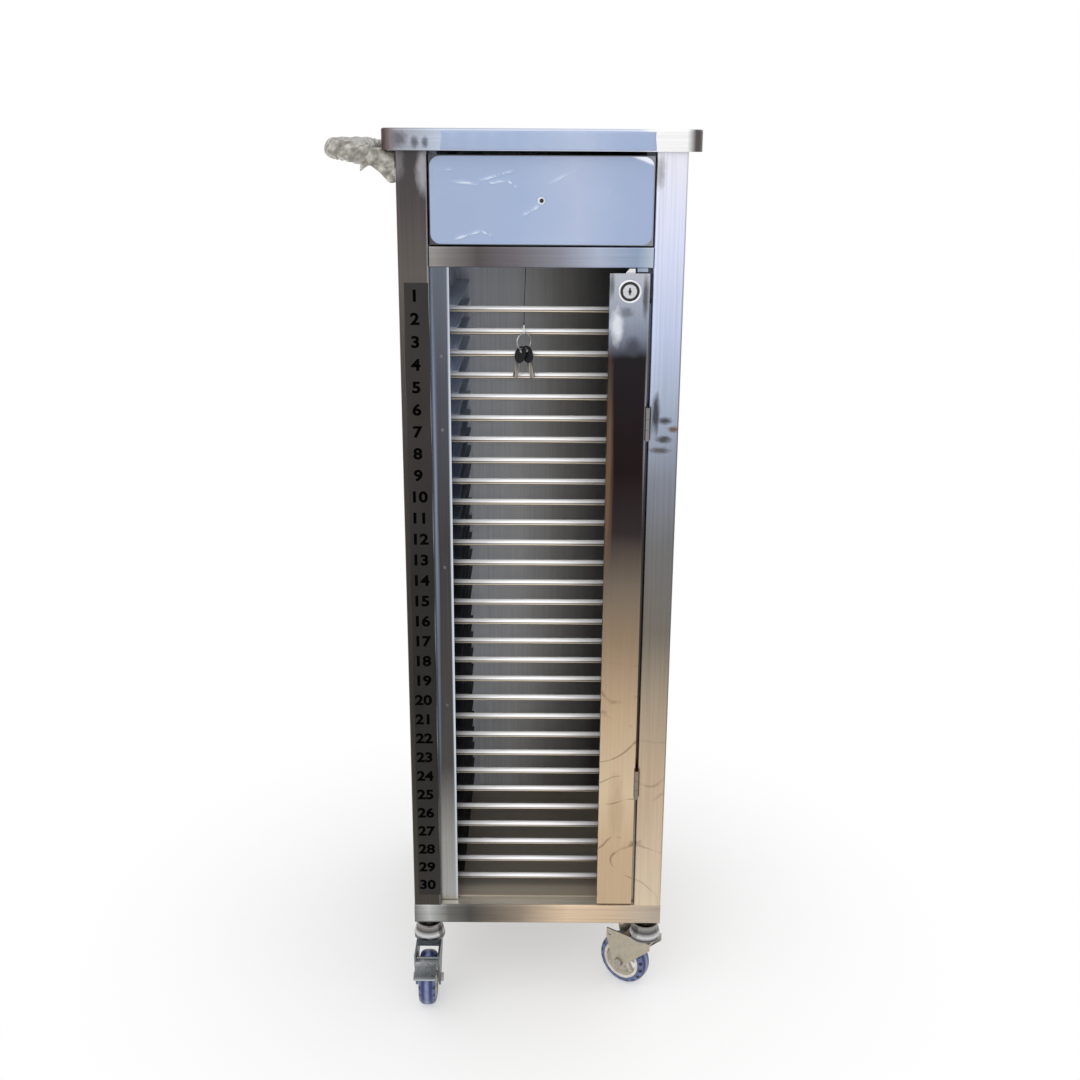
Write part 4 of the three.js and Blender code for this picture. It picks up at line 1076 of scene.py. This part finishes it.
edge_film = edge_film_points(*EDGE_GRID)
film_piece("plate_edge_film", edge_film, np.zeros(edge_film.shape[:2]), "root")

# %% [markdown]
# ## The hole at the middle of the drawer
# The drawer has no knob yet: a pale eyelet rings the hole where one would be screwed on. A small profile
# turned about the Y axis makes the eyelet, and a shallow cup, painted dark as the shade inside the hole,
# stands in for its hole.

# %% Eyelet and hole
EYELET_R = 0.0046
EYELET_RISE = 0.0007
EYELET_LIFT = 0.0006
EYELET_POINTS = 16
EYELET_STEPS = 40
HOLE_R = 0.0024
HOLE_STEPS = 32
FRONT = (0.0, -1.0, 0.0)
hole_at = (film_mid[0], front_low[1], film_mid[1])
eyelet_finish = steel(
    "eyelet_white", "X", (hole_at[0] - EYELET_R, hole_at[0] + EYELET_R),
    [(0, (236, 238, 240)), (1, (210, 212, 218))], (300, 300, 300), 0.3, 0.05, 0.1,
)
eyelet_profile = ring_profile(HOLE_R, EYELET_R, EYELET_RISE, EYELET_LIFT, EYELET_POINTS)
eyelet = spin_profile(eyelet_profile, hole_at, FRONT, EYELET_STEPS)
make_piece("drawer_eyelet", eyelet, RING, eyelet_finish, "drawer")
# Painted shade: a dark finish for hollows, used in the drawer's hole and in the lock's groove and keyway.
hollow_shade_finish, tree, shader = new_finish("painted_hollow_shade", 0.0, 0.6)
mottle(tree, shader, 900, [(0.3, (14, 14, 16)), (0.7, (38, 38, 42))])
cup_profile = np.array([
    (0.0, 0.0004), (HOLE_R * 0.7, 0.0005), (HOLE_R, 0.0007), (HOLE_R * 1.1, 0.0004), (0.0, 0.0003),
])
cup = spin_profile(cup_profile, hole_at, FRONT, HOLE_STEPS)
make_piece("drawer_hole", cup, TURNED, hollow_shade_finish, "drawer")

# %% [markdown]
# ## Packing wrap on the handle
# Bubble film is wound round the handle's grip. Its outline is lumpy, with rows of small bubbles. A tube
# swept along the handle, whose radius swells in rows of bubbles and slow lumps, gives that. An inner wall
# returns along the steel tube, so that the piece is a closed sleeve.

# %% Path of the grip
WRAP_R = 0.01265
GRIP_RISE = 15 / 77
GRIP_BEND = 0.030
ARM_POINTS = 40
wrap_low, wrap_high = both("handle_wrap")
grip_tilt = math.atan(GRIP_RISE)
grip_y = float(wrap_high[1]) - WRAP_R
grip_far = float(wrap_low[0]) + WRAP_R * math.cos(grip_tilt)
grip_near = float(wrap_high[0]) - WRAP_R * math.sin(grip_tilt)
grip_far_z = float(wrap_high[2]) - WRAP_R * math.cos(grip_tilt)


def grip_level(x):
    """Height of the handle's plane, which rises away from the post."""
    return grip_far_z + (grip_far - x) * GRIP_RISE


def grip_path(near, count):
    """Two straight arms and a straight grip joined by quadratic bends, in the handle's plane."""
    t = np.linspace(0, 1, count)[:, None]
    bend_x = grip_far + GRIP_BEND
    arm = np.array([(near, -grip_y), (bend_x, -grip_y)])
    corner = np.array([(bend_x, -grip_y), (grip_far, -grip_y), (grip_far, GRIP_BEND - grip_y)])
    run = np.array([(grip_far, GRIP_BEND - grip_y), (grip_far, grip_y - GRIP_BEND)])
    first = arm[0] + t * (arm[1] - arm[0])
    second = (1 - t) ** 2 * corner[0] + 2 * t * (1 - t) * corner[1] + t**2 * corner[2]
    third = run[0] + np.linspace(0, 1, 6 * count)[:, None] * (run[1] - run[0])
    mirror = np.array([1, -1])
    back = [(second * mirror)[::-1][:-1], (first * mirror)[::-1]]
    flat = np.concatenate([first[:-1], second[:-1], third[:-1], *back])
    return np.column_stack([flat, grip_level(flat[:, 0])])


wrap_path = grip_path(grip_near, ARM_POINTS)
wrap_along = path_lengths(wrap_path)
print("wrap is", round(float(wrap_along[-1]), 4), "m long")

# %% Sleeve along the grip
WRAP_IN = 0.00815
WRAP_SIDES = 60
WRAP_EDGE = 0.0002
WRAP_TAPER = 0.004
WRAP_THICK = 0.0026
BUBBLE = 0.0085
BUBBLES_ROUND = 8
BUBBLE_RISE = 0.0014
LUMP_RISE = 0.0006


def wrap_radius(s, a):
    """Radius by way along and angle: a layer, two offset sets of bubbles, slow lumps, thin at both ends."""
    even = np.cos(2 * np.pi * s / BUBBLE) * np.cos(BUBBLES_ROUND * a)
    odd = np.sin(2 * np.pi * s / BUBBLE) * np.sin(BUBBLES_ROUND * a)
    bubbles = np.maximum(np.maximum(even, 0) ** 0.7, np.maximum(odd, 0) ** 0.7)
    lumps = np.sin(95 * s + 2 * np.sin(a)) * np.cos(a * 2 + 31 * s) + 0.7 * np.sin(47 * s + a)
    thin = np.clip(np.minimum(s, wrap_along[-1] - s) / WRAP_TAPER, 0, 1) ** 0.5
    return WRAP_IN + WRAP_EDGE + thin * (WRAP_THICK + BUBBLE_RISE * bubbles + LUMP_RISE * lumps)


outer = wrap_radius(wrap_along[:, None], full_turn(WRAP_SIDES)[None, :])
plane_up = (math.sin(grip_tilt), 0.0, math.cos(grip_tilt))
outside = sweep(wrap_path, outer, plane_up, WRAP_SIDES)
inside = sweep(wrap_path, WRAP_IN, plane_up, WRAP_SIDES)[::-1]
wrap_finish, tree, shader = new_finish("bubble_film", 0.0, 0.22)
mottle(tree, shader, 120, [(0.25, (98, 95, 86)), (0.5, (164, 161, 150)), (0.75, (228, 226, 217))], 4.0)
shader.inputs["Transmission Weight"].default_value = 0.25
shader.inputs["IOR"].default_value = 1.3
shader.inputs["Coat Weight"].default_value = 0.5
shader.inputs["Coat Roughness"].default_value = 0.1
sleeve = np.concatenate([outside, inside])
wrap = make_piece("bubble_wrap", sleeve, RING, wrap_finish, "root")
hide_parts("handle_wrap")

# %% Loose tail of the wrap by the post
TAIL_X = (-0.178, -0.1365)
TAIL_OUT = 0.0035
TAIL_DROP = 0.016
TAIL_ROUND = 0.6
TAIL_CRIMP = 0.0007
TAIL_FLUTTER = 0.0016
TAIL_GRID = (36, 60)
TAIL_WALL = 0.0006


def tail_points(rows, columns):
    """A sheet that starts on top of the front arm, passes its front and hangs below with a ragged edge."""
    v = np.linspace(0, 1, rows)[:, None]
    u = np.linspace(0, 1, columns)[None, :]
    x = between(TAIL_X, u)
    turn = np.pi * (0.55 + 0.75 * np.clip(v / TAIL_ROUND, 0, 1))
    r = WRAP_IN + TAIL_OUT + TAIL_CRIMP * np.sin(400 * x + 9 * v)
    hang = np.clip((v - TAIL_ROUND) / (1 - TAIL_ROUND), 0, 1)
    ragged = TAIL_DROP * (0.55 + 0.45 * np.sin(130 * x + 1.0))
    y = -grip_y + r * np.cos(turn) + TAIL_FLUTTER * hang * np.sin(210 * x)
    z = grip_level(x) + r * np.sin(turn) - hang * ragged
    return np.stack([x + 0 * v, y, z], axis=-1)


tail = make_piece("bubble_wrap_tail", tail_points(*TAIL_GRID), OPEN, wrap_finish, "root")
tail_wall = tail.modifiers.new("tail_wall", "SOLIDIFY")
tail_wall.thickness = TAIL_WALL

# %% [markdown]
# ## Tyres
# The casters have blue-violet tyres with a row of pits round each side, painted dark as shade, and a paler
# line round the tread, painted as a highlight along its crown with painted shade on its shoulders. A rounded
# profile turned about the axle makes one, with a UV map of turns and distance across, so that the pits and
# the line follow the wheel when it spins.

# %% Tyre profile and finish
WHEEL_R = 0.0375
TYRE_HALF = 0.012
TYRE_SEAT = 0.0286
TYRE_FULL = 0.8
TYRE_POINTS = 41
PITS = 18
PIT_ACROSS = 0.68
PIT_SQUASH = 1.5


def tyre_profile(count):
    """Half an ellipse from wall over tread to wall, as (radius, along), a little fuller than round."""
    t = np.linspace(0, np.pi, count)
    radius = TYRE_SEAT + (WHEEL_R - TYRE_SEAT) * np.sin(t) ** TYRE_FULL
    out = -TYRE_HALF * np.sign(np.cos(t)) * np.abs(np.cos(t)) ** TYRE_FULL
    return np.stack([radius, out], axis=-1)


def square(tree, value):
    """A number times itself."""
    return sums(tree, "POWER", sums(tree, "ABSOLUTE", value), 2)


tyre = tyre_profile(TYRE_POINTS)
tyre_finish, tree, shader = new_finish("tyre_violet", 0.0, 0.34)
tyre_chart = chart(tree)
turns = sums(tree, "SUBTRACT", sums(tree, "FRACT", sums(tree, "MULTIPLY", tyre_chart["X"], PITS)), 0.5)
from_tread = sums(tree, "ABSOLUTE", tyre_chart["Y"])
off_row = sums(tree, "MULTIPLY", sums(tree, "SUBTRACT", from_tread, PIT_ACROSS), PIT_SQUASH)
from_pit = sums(tree, "SQRT", sums(tree, "ADD", square(tree, turns), square(tree, off_row)))
# Painted shade in the pits round each side.
pit_painted_shade = ramp(tree, from_pit, [(0.2, (26, 30, 50)), (0.3, (132, 145, 188))])
# Painted highlight along the tread's crown and painted shade on its shoulders.
tread_painted_light = ramp(
    tree, from_tread,
    [(0.06, (255, 255, 255)), (0.16, (190, 194, 208)), (0.26, (92, 96, 136)), (0.42, (104, 108, 148)),
     (0.56, (206, 208, 220)), (1, (190, 192, 208))],
)
tyre_tint = blend_tint(tree, "MULTIPLY", 1.0, pit_painted_shade, tread_painted_light)
dirt = ramp(tree, noise(tree, (160, 160, 160), 4.0), [(0.3, (186, 182, 180)), (0.6, (255, 255, 255))])
tree.links.new(blend_tint(tree, "MULTIPLY", 0.6, tyre_tint, dirt), shader.inputs["Base Color"])
shader.inputs["Subsurface Weight"].default_value = 0.15
shader.inputs["Subsurface Radius"].default_value = (0.004, 0.004, 0.007)
print("tyre profile has", len(tyre), "points")

# %% Tyres and hubs on the four wheels
TYRE_STEPS = 104
hub_finish, tree, shader = new_finish("hub_ivory", 0.0, 0.42)
mottle(tree, shader, 90, [(0.3, (200, 192, 178)), (0.55, (226, 220, 208)), (0.8, (238, 234, 226))], 4.0)
tyre_along = path_lengths(tyre)
across = 2 * tyre_along / tyre_along[-1] - 1
around = np.linspace(0, 1, TYRE_STEPS + 1)
tyre_wrap = np.stack(np.broadcast_arrays(around[:, None], across[None, :]), axis=-1)
spins = {joint["child"]: joint for joint in frame["joints"] if joint["name"].endswith("_wheel_spin")}
for corner in CASTERS:
    wheel = corner + "_wheel"
    ring = spin_profile(tyre, spins[wheel]["pos_m"], spins[wheel]["axis"], TYRE_STEPS)
    ring = np.concatenate([ring, ring[:1]])
    made = make_piece(corner + "_tyre", ring, TUBE, tyre_finish, wheel, wrap=tyre_wrap)
    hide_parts(corner + "_caster_tyre")
    dress(hub_finish, corner + "_caster_hub")

# %% [markdown]
# ## Weld dots and the lock's face
# The stile strip is spot welded, which shows as shallow dots, and the lock has a turned bezel, a groove
# and a keyway; the groove and the keyway are painted dark as shade. Dots, bezel and groove are small
# profiles turned about a line to the front.

# %% Weld dots on the stile
DOT_HEIGHTS = (0.915, 0.822, 0.640, 0.445, 0.338)
DOT_R = 0.0024
DOT_RISE = 0.0007
DOT_SUNK = 0.0002
DOT_BACK = (0.0, -0.0004)
DOT_POINTS = 7
DOT_STEPS = 24
dot_turn = np.linspace(0, np.pi / 2, DOT_POINTS)
dot_dome = np.stack([DOT_R * np.cos(dot_turn), DOT_RISE * np.sin(dot_turn) - DOT_SUNK], axis=-1)
dot_profile = np.concatenate([[DOT_BACK], dot_dome])
dot_finish = steel("weld_dot", "Z", UPRIGHT, [(0, (90, 88, 90)), (1, (130, 132, 138))], (500, 500, 500), 0.4)
for index, height in enumerate(DOT_HEIGHTS):
    spot = ((stile_low[0] + stile_high[0]) / 2, stile_low[1], height)
    dot = spin_profile(dot_profile, spot, FRONT, DOT_STEPS)
    make_piece(f"weld_dot_{index + 1}", dot, TURNED, dot_finish, "root")

# %% Bezel and groove of the lock
BEZEL_OUT = 0.0142
BEZEL_IN = 0.0114
GROOVE_OUT = BEZEL_IN + 0.0004
GROOVE_IN = 0.0087
BEZEL_SECTION = (0.0012, -0.0004, 20)
GROOVE_SECTION = (0.0005, -0.0002, 20)
LOCK_STEPS = 64
plug_low, plug_high = both("lock_plug")
lock_face = both("lock_case")[0][1]
lock_at = np.array([(plug_low[0] + plug_high[0]) / 2, lock_face, (plug_low[2] + plug_high[2]) / 2])
bezel = spin_profile(ring_profile(BEZEL_IN, BEZEL_OUT, *BEZEL_SECTION), lock_at, FRONT, LOCK_STEPS)
groove = spin_profile(ring_profile(GROOVE_IN, GROOVE_OUT, *GROOVE_SECTION), lock_at, FRONT, LOCK_STEPS)
make_piece("lock_bezel", bezel, RING, lock_bright, "lock_bar")
# Painted shade in the lock's groove.
make_piece("lock_groove", groove, RING, hollow_shade_finish, "lock_bar")

# %% Keyway in the plug
KEYWAY_W = 0.0011
KEYWAY_H = 0.0045
KEYWAY_SWELL = 0.9
KEYWAY_PROUD = 0.0001
KEYWAY_GRID = (9, 32)
plug_at = (lock_at[0], float(plug_low[1]), lock_at[2])


def keyway_points(rows, columns):
    """A flat lens: a slot outline with swollen middle, scaled from a pole to its rim and back to a pole."""
    v = np.linspace(0, np.pi, rows)[:, None]
    u = full_turn(columns)[None, :]
    wide = KEYWAY_W * (1 + KEYWAY_SWELL * np.exp(-((np.sin(u) / 0.4) ** 2)))
    x = plug_at[0] + np.sin(v) * wide * np.cos(u)
    y = plug_at[1] - KEYWAY_PROUD * np.cos(v) + 0 * u
    z = plug_at[2] + np.sin(v) * KEYWAY_H * np.sin(u)
    return np.stack([x, y, z], axis=-1)


# A flat lens of painted shade stands for the keyway's hollow.
make_piece("lock_keyway", keyway_points(*KEYWAY_GRID), TUBE, hollow_shade_finish, "lock_plug")

# %% [markdown]
# ## Floor, light and background
# The rack stands on a white floor in a white room. The floor keeps the rack's soft shadow near the wheels
# and glows plain white further out, so that floor and background join without a line. Only rays that go
# straight to the camera, a mirror or glass see that white; other rays get a dimmer fill, so that the
# steel isn't washed out. Two broad lamps give the light a direction, and a third in front, which mirrors
# don't show, lifts dark fronts.

# %% White floor
FLOOR_HALF = 30.0
FLOOR_LINES = 5
SHADOW_NEAR = 0.15
SHADOW_FAR = 0.75
SHADOW_THIN = 0.4


def seen_rays(tree):
    """1 for a ray that goes straight to the camera, a mirror or glass, else 0."""
    sight = add_node(tree, "LightPath")
    seen = sums(tree, "ADD", sight.outputs["Is Camera Ray"], sight.outputs["Is Glossy Ray"])
    return sums(tree, "MINIMUM", sums(tree, "ADD", seen, sight.outputs["Is Transmission Ray"]), 1.0)


floor_lines = np.linspace(-FLOOR_HALF, FLOOR_HALF, FLOOR_LINES)
floor_x, floor_y = np.meshgrid(floor_lines, floor_lines)
floor_spots = np.stack([floor_x, floor_y, 0 * floor_x], axis=-1).reshape(-1, 3)
floor_faces = grid_faces(FLOOR_LINES, FLOOR_LINES, *OPEN)[:, ::-1]
floor_mesh = bpy.data.meshes.new("studio_floor")
floor_mesh.from_pydata(floor_spots.tolist(), [], floor_faces.tolist())
floor_finish = bpy.data.materials.new("white_floor")
floor_finish.use_nodes = True
tree = floor_finish.node_tree
tree.nodes.clear()
matt = add_node(tree, "BsdfDiffuse", Color=screen(250, 250, 250))
glow = add_node(tree, "Emission", Strength=1.0)
away = add_node(tree, "MapRange", From_Min=SHADOW_NEAR, From_Max=SHADOW_FAR)
away.interpolation_type = "SMOOTHSTEP"
tree.links.new(length(tree, place(tree)), away.inputs["Value"])
glowing = remap(tree, away.outputs["Result"], 0, 1, SHADOW_THIN, 1.0)
choose = add_node(tree, "MixShader")
tree.links.new(sums(tree, "MULTIPLY", glowing, seen_rays(tree)), choose.inputs["Fac"])
tree.links.new(matt.outputs["BSDF"], choose.inputs[1])
tree.links.new(glow.outputs["Emission"], choose.inputs[2])
tree.links.new(choose.outputs["Shader"], add_node(tree, "OutputMaterial").inputs["Surface"])
floor_mesh.materials.append(floor_finish)
studio_floor = add_object("studio_floor", floor_mesh)
print("floor", 2 * FLOOR_HALF, "m wide, shadow up to", SHADOW_FAR, "m out")

# %% White room
FILL = 0.62
room = bpy.data.worlds.new("white_room")
room.use_nodes = True
bpy.context.scene.world = room
tree = room.node_tree
backdrop = tree.nodes["Background"]
backdrop.inputs["Color"].default_value = (1, 1, 1, 1)
tree.links.new(remap(tree, seen_rays(tree), 0, 1, FILL, 1.0), backdrop.inputs["Strength"])
print("room white where seen, fill", FILL)

# %% Soft lamps
LAMPS = {
    "key_lamp": ((-2.2, -2.6, 3.4), 7.0, 66.0, True),
    "side_lamp": ((2.6, 1.6, 3.2), 7.0, 58.0, True),
    "front_fill": ((-0.4, -3.2, 2.2), 4.2, 40.0, False),
}
for name, (at, side, power, mirrored) in LAMPS.items():
    light = bpy.data.lights.new(name, "AREA")
    light.size = side
    light.energy = power
    lamp = add_object(name, light)
    lamp.location = at
    lamp.rotation_euler = (-lamp.location).to_track_quat("-Z", "Y").to_euler()
    lamp.visible_glossy = mirrored
bpy.context.scene.view_settings.view_transform = "Standard"
print("room lit by", len(LAMPS), "lamps")
